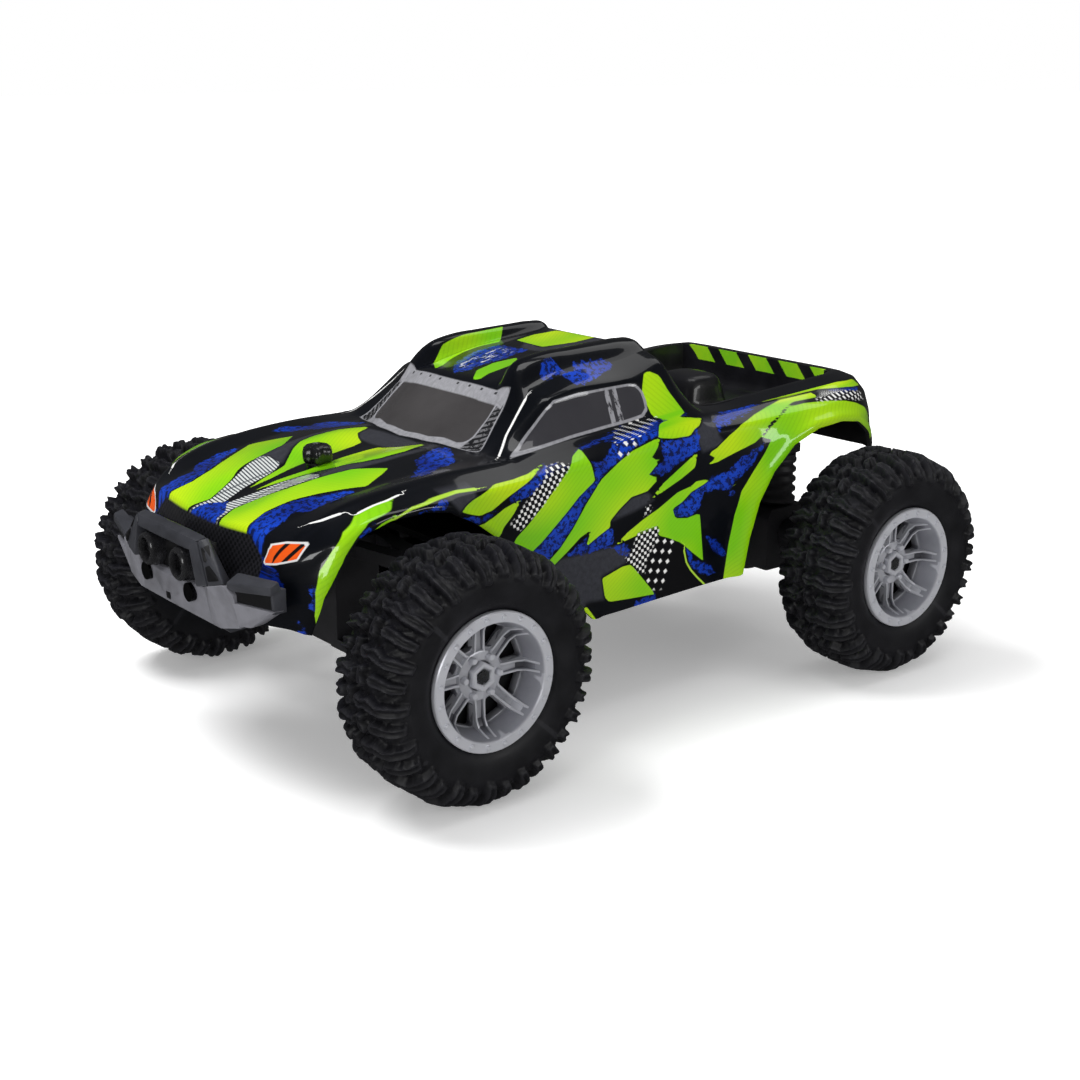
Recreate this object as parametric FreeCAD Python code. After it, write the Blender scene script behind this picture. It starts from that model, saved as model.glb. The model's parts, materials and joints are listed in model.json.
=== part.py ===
# Small radio-controlled monster truck, about 1:32, in millimetres.
# X points forward, Y to the truck's left and Z up. The ground is z = 0 and the origin is
# under the middle of the truck's box.
import FreeCAD
import Part
import math
import os

V = FreeCAD.Vector

# Overall layout
AXLE_Z = 19.0
FRONT_X = 40.1
REAR_X = -48.7
WHEEL_Y = 39.7
TYRE_R = 19.0
TYRE_HALF = 7.1
BACK_X = REAR_X - TYRE_R
SIDES = {"left": 1, "right": -1}

# Wheels
RIM_R = 10.54
RIM_HALF = 6.9
RIM_LIP_R = 8.75
RIM_BACK_R = 9.3
DISC_BACK = 1.3
DISC_FRONT = 2.9
HUB_R = 3.5
HUB_BACK = -2.5
HUB_FRONT = 3.3
POCKET_R = 2.9
POCKET_BACK = 2.3
STUB_R = 1.0
BUSH_R = 2.0
BUSH_LEN = 1.5
RUNNING = 0.05
SPOKES = 8
RIM_BOLTS = 20
LUG_NUTS = 6
SIDE_LUGS = 24

# Front suspension and steering
KINGPIN_Y = 30.0
KINGPIN_R = 1.0
KNUCKLE_R = 2.4
KNUCKLE_Z = (16.6, 23.0)
LOWER_ARM_Z = (14.8, 16.4)
UPPER_ARM_Z = (31.0, 33.0)
SEAT_Z = (23.2, 24.4)
SEAT_R = 2.3
STEER_ARM = 7.5
STEER_ARM_Z = (16.9, 18.3)
STEER_PIN_R = 0.7
STEER_ANGLE = math.radians(18)
TIE_ROD_X = FRONT_X - STEER_ARM * (1 + math.cos(STEER_ANGLE)) / 2
TIE_ROD_Z = (21.0, 22.4)
SLOT_CLEAR = 0.12
HORN_X = TIE_ROD_X - STEER_ARM * (1 + math.cos(STEER_ANGLE)) / 2
HORN_Z = (23.0, 24.4)

# Chassis
FLOOR_Z = 13.0
FLOOR_T = 1.6
FLOOR_TOP = FLOOR_Z + FLOOR_T
TUB_X = (-22.0, 29.0)
TUB_HALF = 17.0
TUB_WALL = 1.4
TUB_TOP = 21.0
NOSE_X = 60.0
NOSE_HALF = 9.0
NOSE_Z = 15.0
TOWER_X = (36.1, 44.1)
DECK_Z = (26.0, 27.2)
POSTS = [(-18.0, 14.0), (18.0, 14.0)]
POST_R = 2.0
SCREW_R = 0.7
SCREW_HEAD_R = 1.4

# Rear pod: motor, two-stage gearbox and axle, hinged at its front
POD_PIN = (-20.5, 14.5)
POD_PIN_R = 1.0
MODULE = 0.4
AXLE_TEETH = 36
IDLER_SMALL = 12
IDLER_LARGE = 30
PINION_TEETH = 10
AXLE_TO_IDLER = math.radians(20)
IDLER_TO_PINION = math.radians(-5)
STAGE_2 = MODULE * (AXLE_TEETH + IDLER_SMALL) / 2
STAGE_1 = MODULE * (IDLER_LARGE + PINION_TEETH) / 2
AXLE_C = (REAR_X, AXLE_Z)
IDLER_C = (REAR_X + STAGE_2 * math.cos(AXLE_TO_IDLER), AXLE_Z + STAGE_2 * math.sin(AXLE_TO_IDLER))
PINION_C = (IDLER_C[0] + STAGE_1 * math.cos(IDLER_TO_PINION), IDLER_C[1] + STAGE_1 * math.sin(IDLER_TO_PINION))
SCREW_SPOTS = [(-34.0, 29.0), (-54.2, 26.6), (-37.0, 13.6)]
SCREW_BOSS_R = 1.7
AXLE_R = 1.3
IDLER_SHAFT_R = 0.8
MOTOR_R = 5.5
MOTOR_LEN = 16.0
MOTOR_SHAFT_R = 0.5
PLATE_Y = (0.8, 2.0)
CASE_Y = 9.8
CASE_WALL = 1.0
TUBE_R = 3.0
TUBE_END = 30.0
SPRING_Y = 15.0
SPRING_PAD_Z = (21.5, 23.0)
SPRING_PAD_R = 3.4
CLAMP_X = 4.2
CLAMP_Y = 2.4
CLAMP_FOOT = 13.0
FRAME_Z = (33.6, 35.2)

# Body shell
SKIN = 0.8
BED_FLOOR = 41.4
BED_X = (-57.2, -22.2)
BED_HALF = 20.2
HUMP_X = (-48.0, -37.0)
HUMP_HALF = 6.0
HUMP_TOP = 46.8
FRONT_ARCH_R = 22.4
REAR_ARCH_R = 23.2


def box(x0, x1, y0, y1, z0, z1):
    return Part.makeBox(x1 - x0, y1 - y0, z1 - z0, V(x0, y0, z0))


def cyl_x(x0, x1, y, z, r):
    return Part.makeCylinder(r, x1 - x0, V(x0, y, z), V(1, 0, 0))


def cyl_y(y0, y1, x, z, r):
    return Part.makeCylinder(r, y1 - y0, V(x, y0, z), V(0, 1, 0))


def cyl_z(z0, z1, x, y, r):
    return Part.makeCylinder(r, z1 - z0, V(x, y, z0), V(0, 0, 1))


def face_of(points):
    return Part.Face(Part.makePolygon(points + [points[0]]))


def slab_z(outline, z0, z1):
    return face_of([V(x, y, z0) for x, y in outline]).extrude(V(0, 0, z1 - z0))


def slab_x(outline, x0, x1):
    return face_of([V(x0, y, z) for y, z in outline]).extrude(V(x1 - x0, 0, 0))


def slab_y(outline, y0, y1):
    return face_of([V(x, y0, z) for x, z in outline]).extrude(V(0, y1 - y0, 0))


def join(*shapes):
    return shapes[0].fuse(list(shapes[1:])).removeSplitter()


def cut(base, *tools):
    return base.cut(list(tools)).removeSplitter()


def flipped(shape, side):
    if side > 0:
        return shape
    return shape.mirror(V(0, 0, 0), V(0, 1, 0))


def both(shape):
    return [shape, flipped(shape, -1)]


def turned(shape, angle):
    copy = shape.copy()
    copy.rotate(V(0, 0, 0), V(0, 1, 0), math.degrees(angle))
    return copy


def spun(profile):
    """Solid of revolution about Y from points (radius, y)."""
    face = face_of([V(r, y, 0) for r, y in profile])
    return face.revolve(V(0, 0, 0), V(0, 1, 0), 360)


def save(name, shape):
    solids = shape.Solids
    if len(solids) == 1:
        shape = solids[0]
    else:
        shape = Part.makeCompound(solids)
    if not shape.isValid():
        print("not valid:", name)
    shape.exportStep("parts/%s.step" % name)
    limits = shape.BoundBox
    print("%-24s %2d solids %9.2f mm3  x %.1f..%.1f y %.1f..%.1f z %.1f..%.1f" % (
        name, len(solids), shape.Volume, limits.XMin, limits.XMax, limits.YMin, limits.YMax,
        limits.ZMin, limits.ZMax))


def skin_solid(rows):
    """Closed solid through rows of points, each row running round a closed section."""
    faces = []
    count = len(rows[0])
    for a, b in zip(rows, rows[1:]):
        for i in range(count):
            j = (i + 1) % count
            faces.append(face_of([a[i], a[j], b[i]]))
            faces.append(face_of([a[j], b[j], b[i]]))
    for row in (rows[0], rows[-1]):
        middle = sum(row[1:], row[0]) * (1.0 / count)
        for i in range(count):
            faces.append(face_of([row[i], row[(i + 1) % count], middle]))
    solid = Part.makeSolid(Part.makeShell(faces))
    if solid.Volume < 0:
        solid.reverse()
    return solid


def coil(x, y, z0, z1, radius, wire, turns):
    """Open coil spring as a faceted tube that winds up the Z axis."""
    steps = turns * 12
    sides = 6
    rows = []
    for k in range(steps + 1):
        angle = 2 * math.pi * k / 12
        z = z0 + wire + (z1 - z0 - 2 * wire) * k / steps
        out = V(math.cos(angle), math.sin(angle), 0)
        row = []
        for s in range(sides):
            tilt = 2 * math.pi * s / sides
            reach = radius + wire * math.cos(tilt)
            row.append(V(x, y, z) + out * reach + V(0, 0, wire * math.sin(tilt)))
        rows.append(row)
    return skin_solid(rows)


# ---------------------------------------------------------------- wheels

def tyre():
    """Tall off-road tyre: smooth sidewalls, stepped tread blocks and shoulder lugs."""
    base_r = TYRE_R - 1.5
    profile = [(RIM_R, -TYRE_HALF + 0.5), (12.5, -TYRE_HALF), (15.5, -TYRE_HALF), (base_r, -TYRE_HALF + 1.4),
               (base_r, TYRE_HALF - 1.4), (15.5, TYRE_HALF), (12.5, TYRE_HALF), (RIM_R, TYRE_HALF - 0.5)]
    body = spun(profile)
    crown = spun([(base_r - 0.5, -TYRE_HALF + 1.2), (TYRE_R - 0.6, -TYRE_HALF + 1.2), (TYRE_R, -TYRE_HALF + 2.4),
                  (TYRE_R, TYRE_HALF - 2.4), (TYRE_R - 0.6, TYRE_HALF - 1.2), (base_r - 0.5, TYRE_HALF - 1.2)])
    grooves = []
    pitch = 2 * math.pi / SIDE_LUGS
    for k in range(SIDE_LUGS):
        for side in (1, -1):
            y0, y1 = sorted((side * 2.6, side * 8.0))
            groove = box(-0.8, 0.8, y0, y1, base_r, TYRE_R + 1)
            grooves.append(turned(groove, pitch * (k + 0.25 * (1 + side))))
    for y in (-2.2, 2.2):
        grooves.append(spun([(base_r, y - 0.4), (TYRE_R + 1, y - 0.4), (TYRE_R + 1, y + 0.4), (base_r, y + 0.4)]))
    return join(body, crown.cut(grooves))


def rim_window():
    """One rounded opening between two spokes, centred on the Z axis."""
    outline = [(-0.75, 4.1), (0.75, 4.1), (2.0, 7.9), (-2.0, 7.9)]
    return slab_y(outline, DISC_BACK - 1, DISC_FRONT + 1)


def rim():
    """Deep-dish rim with a ring of bolts, eight spokes and a recessed hub."""
    barrel = spun([(RIM_BACK_R, -RIM_HALF), (RIM_R, -RIM_HALF), (RIM_R, RIM_HALF), (RIM_LIP_R, RIM_HALF),
                   (8.4, DISC_FRONT), (8.4, DISC_BACK), (RIM_BACK_R, DISC_BACK - 0.6)])
    disc = spun([(0, DISC_BACK), (8.8, DISC_BACK), (8.8, DISC_FRONT), (0, DISC_FRONT)])
    hub = cyl_y(HUB_BACK, HUB_FRONT, 0, 0, HUB_R)
    windows = [turned(rim_window(), 2 * math.pi * (k + 0.5) / SPOKES) for k in range(SPOKES)]
    strips = []
    for k in range(SPOKES):
        strip = slab_y([(-0.45, 3.4), (0.45, 3.4), (0.45, 8.2), (-0.45, 8.2)], DISC_FRONT - 0.3, DISC_FRONT + 0.35)
        strips.append(turned(strip, 2 * math.pi * k / SPOKES))
    bolts = []
    for k in range(RIM_BOLTS):
        bolt = cyl_y(RIM_HALF - 0.2, RIM_HALF + 0.2, 0, (RIM_R + RIM_LIP_R) / 2, 0.42)
        bolts.append(turned(bolt, 2 * math.pi * k / RIM_BOLTS))
    solid = join(barrel, disc.cut(windows), hub, *strips, *bolts)
    pocket = cyl_y(POCKET_BACK, HUB_FRONT + 1, 0, 0, POCKET_R)
    seats = [cyl_y(HUB_BACK - 0.1, HUB_BACK + BUSH_LEN, 0, 0, BUSH_R),
             cyl_y(POCKET_BACK - BUSH_LEN, POCKET_BACK + 0.1, 0, 0, BUSH_R)]
    bore = cyl_y(HUB_BACK - 0.1, POCKET_BACK + 0.1, 0, 0, STUB_R + 0.4)
    solid = cut(solid, pocket, bore, *seats)
    studs = []
    for k in range(LUG_NUTS):
        stud = cyl_y(POCKET_BACK - 0.1, POCKET_BACK + 0.7, 0, 2.45, 0.36)
        studs.append(turned(stud, 2 * math.pi * k / LUG_NUTS))
    return join(solid, *studs)


def bush_pair():
    """Plain bearings pressed into both ends of a hub."""
    hole = cyl_y(HUB_BACK - 1, POCKET_BACK + 1, 0, 0, STUB_R + RUNNING)
    inner = cyl_y(HUB_BACK, HUB_BACK + BUSH_LEN, 0, 0, BUSH_R)
    outer = cyl_y(POCKET_BACK - BUSH_LEN, POCKET_BACK, 0, 0, BUSH_R)
    return Part.makeCompound([inner.cut(hole), outer.cut(hole)])


def hex_nut(y0, y1, bore_r):
    across = 1.5
    corners = [(across * math.cos(math.pi * k / 3), across * math.sin(math.pi * k / 3)) for k in range(6)]
    return slab_y(corners, y0, y1).cut(cyl_y(y0 - 1, y1 + 1, 0, 0, bore_r))


def placed(shape, x, side):
    """Put a wheel part, made outboard = +Y at the origin, on an axle end."""
    part = flipped(shape, side)
    part.translate(V(x, side * WHEEL_Y, AXLE_Z))
    return part


def save_wheels():
    nut_y = (POCKET_BACK + 0.12, POCKET_BACK + 1.5)
    for place, x in (("front", FRONT_X), ("rear", REAR_X)):
        for name, side in SIDES.items():
            save("tyre_%s_%s" % (place, name), placed(tyre(), x, side))
            if place == "front":
                wheel_rim = rim()
            else:
                wheel_rim = cut(join(rim(), cyl_y(HUB_BACK, POCKET_BACK, 0, 0, BUSH_R + 0.2)),
                                cyl_y(HUB_BACK - 1, POCKET_BACK + 1, 0, 0, STUB_R))
            save("rim_%s_%s" % (place, name), placed(wheel_rim, x, side))
            save("wheel_nut_%s_%s" % (place, name), placed(hex_nut(nut_y[0], nut_y[1], STUB_R), x, side))
    for name, side in SIDES.items():
        save("hub_bushes_%s" % name, placed(bush_pair(), FRONT_X, side))


# ---------------------------------------------------------------- front suspension and steering

def front_arm():
    """C-shaped arm pair that holds the kingpin, left side."""
    shapes = [box(TOWER_X[0], TOWER_X[1], NOSE_HALF, NOSE_HALF + 2, LOWER_ARM_Z[0], UPPER_ARM_Z[1])]
    outline = [(FRONT_X - 4, NOSE_HALF), (FRONT_X + 4, NOSE_HALF), (FRONT_X + 4, 17), (FRONT_X + 1.9, KINGPIN_Y),
               (FRONT_X - 1.9, KINGPIN_Y), (FRONT_X - 4, 17)]
    for z0, z1 in (LOWER_ARM_Z, UPPER_ARM_Z):
        arm = join(slab_z(outline, z0, z1), cyl_z(z0, z1, FRONT_X, KINGPIN_Y, 1.9))
        shapes.append(arm.cut(slab_z([(FRONT_X - 2, 13.5), (FRONT_X + 2, 13.5), (FRONT_X, 23.5)], z0 - 1, z1 + 1)))
    hole = cyl_z(LOWER_ARM_Z[0] - 1, UPPER_ARM_Z[1] + 1, FRONT_X, KINGPIN_Y, KINGPIN_R)
    return cut(join(*shapes), hole)


def kingpin():
    pin = cyl_z(LOWER_ARM_Z[0] - 0.4, UPPER_ARM_Z[1] + 0.4, FRONT_X, KINGPIN_Y, KINGPIN_R)
    head = cyl_z(UPPER_ARM_Z[1], UPPER_ARM_Z[1] + 0.8, FRONT_X, KINGPIN_Y, 1.7)
    return join(pin, head)


def spring_seat():
    seat = join(cyl_z(SEAT_Z[0], SEAT_Z[0] + 0.6, FRONT_X, KINGPIN_Y, SEAT_R),
                cyl_z(SEAT_Z[0], SEAT_Z[1], FRONT_X, KINGPIN_Y, 1.5))
    return cut(seat, cyl_z(SEAT_Z[0] - 1, SEAT_Z[1] + 1, FRONT_X, KINGPIN_Y, KINGPIN_R + RUNNING))


def knuckle():
    """Steering knuckle: kingpin barrel, spindle boss and a rearward steering arm with its pin."""
    pin_x = FRONT_X - STEER_ARM
    barrel = cyl_z(KNUCKLE_Z[0], KNUCKLE_Z[1], FRONT_X, KINGPIN_Y, KNUCKLE_R)
    boss = cyl_y(KINGPIN_Y + 1, WHEEL_Y + HUB_BACK - 0.3, FRONT_X, AXLE_Z, 2.2)
    arm = box(pin_x, FRONT_X - 1.5, KINGPIN_Y - 1.2, KINGPIN_Y + 1.2, STEER_ARM_Z[0], STEER_ARM_Z[1])
    eye = cyl_z(STEER_ARM_Z[0], STEER_ARM_Z[1], pin_x, KINGPIN_Y, 1.5)
    pin = cyl_z(STEER_ARM_Z[1] - 0.2, TIE_ROD_Z[1] + 0.6, pin_x, KINGPIN_Y, STEER_PIN_R)
    solid = join(barrel, boss, arm, eye, pin)
    bore = cyl_z(KNUCKLE_Z[0] - 1, KNUCKLE_Z[1] + 1, FRONT_X, KINGPIN_Y, KINGPIN_R + RUNNING)
    socket = cyl_y(KINGPIN_Y + 2.2, WHEEL_Y, FRONT_X, AXLE_Z, STUB_R)
    return cut(solid, bore, socket)


def stub_axle():
    return cyl_y(KINGPIN_Y + 2.2, WHEEL_Y + POCKET_BACK + 1.9, FRONT_X, AXLE_Z, STUB_R)


def slot(x, y):
    """Cutter for a pin slot that is long in X."""
    reach = STEER_ARM * (1 - math.cos(STEER_ANGLE)) / 2 + SLOT_CLEAR / 2
    r = STEER_PIN_R + SLOT_CLEAR
    z0, z1 = TIE_ROD_Z[0] - 1, TIE_ROD_Z[1] + 1
    return join(box(x - reach, x + reach, y - r, y + r, z0, z1), cyl_z(z0, z1, x - reach, y, r),
                cyl_z(z0, z1, x + reach, y, r))


def tie_rod():
    z0, z1 = TIE_ROD_Z
    bar = box(TIE_ROD_X - 1.3, TIE_ROD_X + 1.3, -KINGPIN_Y, KINGPIN_Y, z0, z1)
    eyes = [cyl_z(z0, z1, TIE_ROD_X, y, 2.1) for y in (-KINGPIN_Y, 0, KINGPIN_Y)]
    return cut(join(bar, *eyes), *[slot(TIE_ROD_X, y) for y in (-KINGPIN_Y, 0, KINGPIN_Y)])


def servo_horn():
    z0, z1 = HORN_Z
    reach = STEER_ARM
    arm = slab_z([(HORN_X, -2.2), (HORN_X + reach, -1.4), (HORN_X + reach, 1.4), (HORN_X, 2.2)], z0, z1)
    shaft = cyl_z(z0 - 2.4, z0, HORN_X, 0, 1.2)
    pin = cyl_z(TIE_ROD_Z[0] - 0.4, z0 + 0.2, HORN_X + reach, 0, STEER_PIN_R)
    return join(arm, cyl_z(z0, z1 + 0.4, HORN_X, 0, 2.6), cyl_z(z0, z1, HORN_X + reach, 0, 1.4), shaft, pin)


def steering_servo():
    case = box(9.5, 28.4, -6.2, 6.2, FLOOR_TOP, 21.6)
    boss = cyl_z(21.6, HORN_Z[0] - 0.2, HORN_X, 0, 2.8)
    ears = box(12.0, 15.0, -9.2, 9.2, 18.0, 19.6)
    shaft_hole = cyl_z(HORN_Z[0] - 2.8, HORN_Z[0] + 1, HORN_X, 0, 1.2 + RUNNING)
    return cut(join(case, boss, ears), shaft_hole)


def save_front_end():
    for name, side in SIDES.items():
        save("front_arm_%s" % name, flipped(front_arm(), side))
        save("kingpin_%s" % name, flipped(kingpin(), side))
        save("spring_seat_%s" % name, flipped(spring_seat(), side))
        save("knuckle_%s" % name, flipped(knuckle(), side))
        save("stub_axle_%s" % name, flipped(stub_axle(), side))
        spring = coil(FRONT_X, KINGPIN_Y, SEAT_Z[0] + 0.6, UPPER_ARM_Z[0], 1.9, 0.3, 5)
        save("kingpin_spring_%s" % name, flipped(spring, side))
    save("tie_rod", tie_rod())
    save("servo_horn", servo_horn())
    save("steering_servo", steering_servo())


# ---------------------------------------------------------------- chassis and electronics

def chassis_tub():
    """Moulded tub with a rising nose, suspension tower, bumper beam and rear hinge lugs."""
    x0, x1 = TUB_X
    nose = [(x1 - 1, FLOOR_Z), (x1, FLOOR_Z), (TOWER_X[0], NOSE_Z), (TOWER_X[1], NOSE_Z),
            (TOWER_X[1], NOSE_Z + FLOOR_T), (TOWER_X[0], NOSE_Z + FLOOR_T), (x1, FLOOR_TOP), (x1 - 1, FLOOR_TOP)]
    floor = join(box(x0, x1, -TUB_HALF, TUB_HALF, FLOOR_Z, FLOOR_TOP), slab_y(nose, -NOSE_HALF, NOSE_HALF))
    wall = box(x0, x1, TUB_HALF - TUB_WALL, TUB_HALF, FLOOR_TOP, TUB_TOP)
    front_wall = box(x1 - TUB_WALL, x1, NOSE_HALF, TUB_HALF, FLOOR_TOP, TUB_TOP)
    tower = box(TOWER_X[0], TOWER_X[1], -NOSE_HALF, NOSE_HALF, NOSE_Z, UPPER_ARM_Z[1])
    beam = box(TOWER_X[1] - 1, NOSE_X, -8.0, 8.0, 22.4, 30.0)
    lug = slab_y([(-17.6, FLOOR_Z), (-17.6, 16.9), (-22.0, 16.9), (-23.2, 14.5), (-22.4, FLOOR_Z)], 7.6, 9.6)
    rear_legs = box(x0, x0 + 2.5, 12.0, 16.0, FLOOR_TOP, FRAME_Z[0])
    posts = [cyl_z(FLOOR_TOP, DECK_Z[0], x, y, POST_R) for x, y in POSTS]
    solid = join(floor, *both(wall), *both(front_wall), tower, beam, *both(lug), *both(rear_legs))
    solid = join(solid, *[piece for post in posts for piece in both(post)])
    holes = [cyl_y(-12, 12, POD_PIN[0], POD_PIN[1], POD_PIN_R)]
    holes.append(box(-15.1, 7.1, -9.6, 9.6, FLOOR_Z - 1, FLOOR_TOP + 1))
    holes.append(box(-0.5, 6.5, 11.8, 14.2, FLOOR_Z - 1, FLOOR_TOP + 1))
    holes.append(box(x0 - 1, -17.4, -7.6, 7.6, FLOOR_Z - 1, FLOOR_TOP + 1))
    holes.append(cyl_z(UPPER_ARM_Z[0] - 3, UPPER_ARM_Z[1] + 1, 39.9, 0, 1.6))
    for x, y in POSTS:
        for side in (1, -1):
            holes.append(cyl_z(FLOOR_Z - 1, DECK_Z[0] + 1, x, side * y, SCREW_R))
            holes.append(cyl_z(FLOOR_Z - 1, FLOOR_Z + 0.8, x, side * y, SCREW_HEAD_R))
    for side in (1, -1):
        holes.append(cyl_x(NOSE_X - 5, NOSE_X + 1, side * 7.0, 27.7, SCREW_R))
    return cut(solid, *holes)


def chassis_screws():
    """Tub screws from below and deck screws from above."""
    screws = []
    for x, y in POSTS:
        for side in (1, -1):
            low = join(cyl_z(FLOOR_Z + 0.1, FLOOR_Z + 0.8, x, side * y, SCREW_HEAD_R),
                       cyl_z(FLOOR_Z + 0.1, 19.0, x, side * y, SCREW_R))
            top = join(cyl_z(DECK_Z[1], DECK_Z[1] + 0.9, x, side * y, SCREW_HEAD_R),
                       cyl_z(20.0, DECK_Z[1] + 0.9, x, side * y, SCREW_R))
            screws += [low, top]
    return Part.makeCompound(screws)


def deck():
    """Flat upper deck that carries the radio board."""
    plate = box(-21.0, 21.0, -16.0, 16.0, DECK_Z[0], DECK_Z[1])
    holes = [cyl_z(DECK_Z[0] - 1, DECK_Z[1] + 1, x, s * y, SCREW_R) for x, y in POSTS for s in (1, -1)]
    rear = [box(-22.0, -18.9, s * 14.0 - 2.1, s * 14.0 + 2.1, DECK_Z[0] - 1, DECK_Z[1] + 1) for s in (1, -1)]
    vents = [box(x, x + 3, -12, -4, DECK_Z[0] - 1, DECK_Z[1] + 1) for x in (-12, -6, 0)]
    stands = [cyl_z(DECK_Z[1], 28.6, x, s * 9.0, 1.2) for x in (-13.0, 9.0) for s in (1, -1)]
    return join(cut(plate, *holes, *rear, *vents), *stands)


def receiver_board():
    board = box(-16.0, 12.0, -11.0, 11.0, 28.6, 29.8)
    chip = box(-8.0, -1.0, -4.0, 4.0, 29.8, 31.0)
    can = cyl_z(29.8, 35.0, 6.0, -6.0, 2.5)
    plug = box(4.0, 10.0, 2.0, 9.0, 29.8, 33.0)
    crystal = box(-14.0, -11.0, 3.0, 8.0, 29.8, 31.6)
    return join(board, chip, can, plug, crystal)


def battery_pack():
    """Three cells side by side in a shrink sleeve."""
    cells = [cyl_x(-14.4, 6.4, y, 19.6, 3.4) for y in (-6.0, 0.0, 6.0)]
    sleeve = box(-14.0, 6.0, -6.0, 6.0, 16.4, 22.8)
    return join(sleeve, *cells)


def battery_cover():
    plate = box(-15.0, 7.0, -9.5, 9.5, FLOOR_Z, FLOOR_Z + 1.2)
    cradle = [box(x, x + 1.4, -8.0, 8.0, FLOOR_Z + 1.2, 16.1) for x in (-12.0, 2.6)]
    ribs = [box(-10.0 + 3 * k, -9.0 + 3 * k, -6.0, 6.0, FLOOR_Z - 0.5, FLOOR_Z) for k in range(4)]
    solid = join(plate, *cradle, *ribs)
    return cut(solid, cyl_z(FLOOR_Z - 1, FLOOR_Z + 2, 5.0, 0, SCREW_R),
               cyl_z(FLOOR_Z - 1, FLOOR_Z + 0.6, 5.0, 0, SCREW_HEAD_R))


def battery_cover_screw():
    return join(cyl_z(FLOOR_Z, FLOOR_Z + 0.6, 5.0, 0, SCREW_HEAD_R), cyl_z(FLOOR_Z, 15.8, 5.0, 0, SCREW_R))


def switch_housing():
    case = box(-2.0, 8.0, 10.4, 15.6, FLOOR_TOP, 19.0)
    return cut(case, box(-0.5, 6.5, 11.8, 14.2, FLOOR_TOP - 1, 17.6))


def power_switch():
    slider = box(-0.3, 3.3, 12.0, 14.0, FLOOR_TOP + 0.1, 17.2)
    knob = box(0.5, 2.5, 12.0, 14.0, FLOOR_Z - 1.0, FLOOR_TOP + 0.1)
    return join(slider, knob)


def save_chassis():
    save("chassis_tub", chassis_tub())
    save("chassis_screws", chassis_screws())
    save("radio_deck", deck())
    save("receiver_board", receiver_board())
    save("battery_pack", battery_pack())
    save("battery_cover", battery_cover())
    save("battery_cover_screw", battery_cover_screw())
    save("switch_housing", switch_housing())
    save("power_switch", power_switch())
    save("front_body_post", cyl_z(UPPER_ARM_Z[0] - 2, 43.6, 39.9, 0, 1.6))


# ---------------------------------------------------------------- rear pod

def involute(angle):
    return math.tan(angle) - angle


def gear_outline(teeth, first_tooth):
    """Outline of a stub-tooth involute gear, with one tooth centred on the given angle."""
    pitch_r = MODULE * teeth / 2
    base_r = pitch_r * math.cos(math.radians(20))
    tip_r = pitch_r + 0.8 * MODULE
    root_r = pitch_r - 1.1 * MODULE
    half = math.pi / (2 * teeth) * 0.86 + involute(math.radians(20))
    flank = []
    for k in range(5):
        r = max(base_r, root_r) + (tip_r - max(base_r, root_r)) * k / 4
        flank.append((r, half - involute(math.acos(min(1.0, base_r / r)))))
    if root_r < base_r:
        flank.insert(0, (root_r, flank[0][1]))
    points = []
    for t in range(teeth):
        middle = first_tooth + 2 * math.pi * t / teeth
        for r, spread in flank:
            points.append((r * math.cos(middle - spread), r * math.sin(middle - spread)))
        for r, spread in reversed(flank):
            points.append((r * math.cos(middle + spread), r * math.sin(middle + spread)))
    return points


def gear(teeth, centre, first_tooth, y0, y1):
    outline = [(centre[0] + a, centre[1] + b) for a, b in gear_outline(teeth, first_tooth)]
    return slab_y(outline, y0, y1)


def axle_gear():
    wheel = join(gear(AXLE_TEETH, AXLE_C, AXLE_TO_IDLER, 5.7, 8.0), cyl_y(3.0, 8.4, AXLE_C[0], AXLE_C[1], 3.0))
    return cut(wheel, cyl_y(0, 10, AXLE_C[0], AXLE_C[1], AXLE_R))


def idler_gear():
    gap = math.pi / IDLER_SMALL
    small = gear(IDLER_SMALL, IDLER_C, AXLE_TO_IDLER + math.pi + gap, 5.2, 8.4)
    large = gear(IDLER_LARGE, IDLER_C, IDLER_TO_PINION, 2.8, 5.2)
    return cut(join(small, large), cyl_y(0, 10, IDLER_C[0], IDLER_C[1], IDLER_SHAFT_R + RUNNING))


def pinion_gear():
    gap = math.pi / PINION_TEETH
    wheel = gear(PINION_TEETH, PINION_C, IDLER_TO_PINION + math.pi + gap, 2.8, 5.4)
    return cut(wheel, cyl_y(0, 10, PINION_C[0], PINION_C[1], MOTOR_SHAFT_R + RUNNING))


def case_outline(grow, y0, y1):
    """Gearbox outline as three discs and the straight web between them."""
    discs = [(AXLE_C, 7.9), (IDLER_C, 6.7), (PINION_C, 3.4)]
    shapes = [cyl_y(y0, y1, c[0], c[1], r + grow) for c, r in discs]
    for (c0, r0), (c1, r1) in zip(discs, discs[1:]):
        r0, r1 = r0 + grow, r1 + grow
        dx, dz = c1[0] - c0[0], c1[1] - c0[1]
        span = math.hypot(dx, dz)
        lean = math.asin((r0 - r1) / span)
        for_top = math.atan2(dz, dx) + math.pi / 2 - lean
        for_low = math.atan2(dz, dx) - math.pi / 2 + lean
        web = [(c0[0] + r0 * math.cos(for_top), c0[1] + r0 * math.sin(for_top)),
               (c1[0] + r1 * math.cos(for_top), c1[1] + r1 * math.sin(for_top)),
               (c1[0] + r1 * math.cos(for_low), c1[1] + r1 * math.sin(for_low)),
               (c0[0] + r0 * math.cos(for_low), c0[1] + r0 * math.sin(for_low))]
        shapes.append(slab_y(web, y0, y1))
    return join(*shapes)


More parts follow.
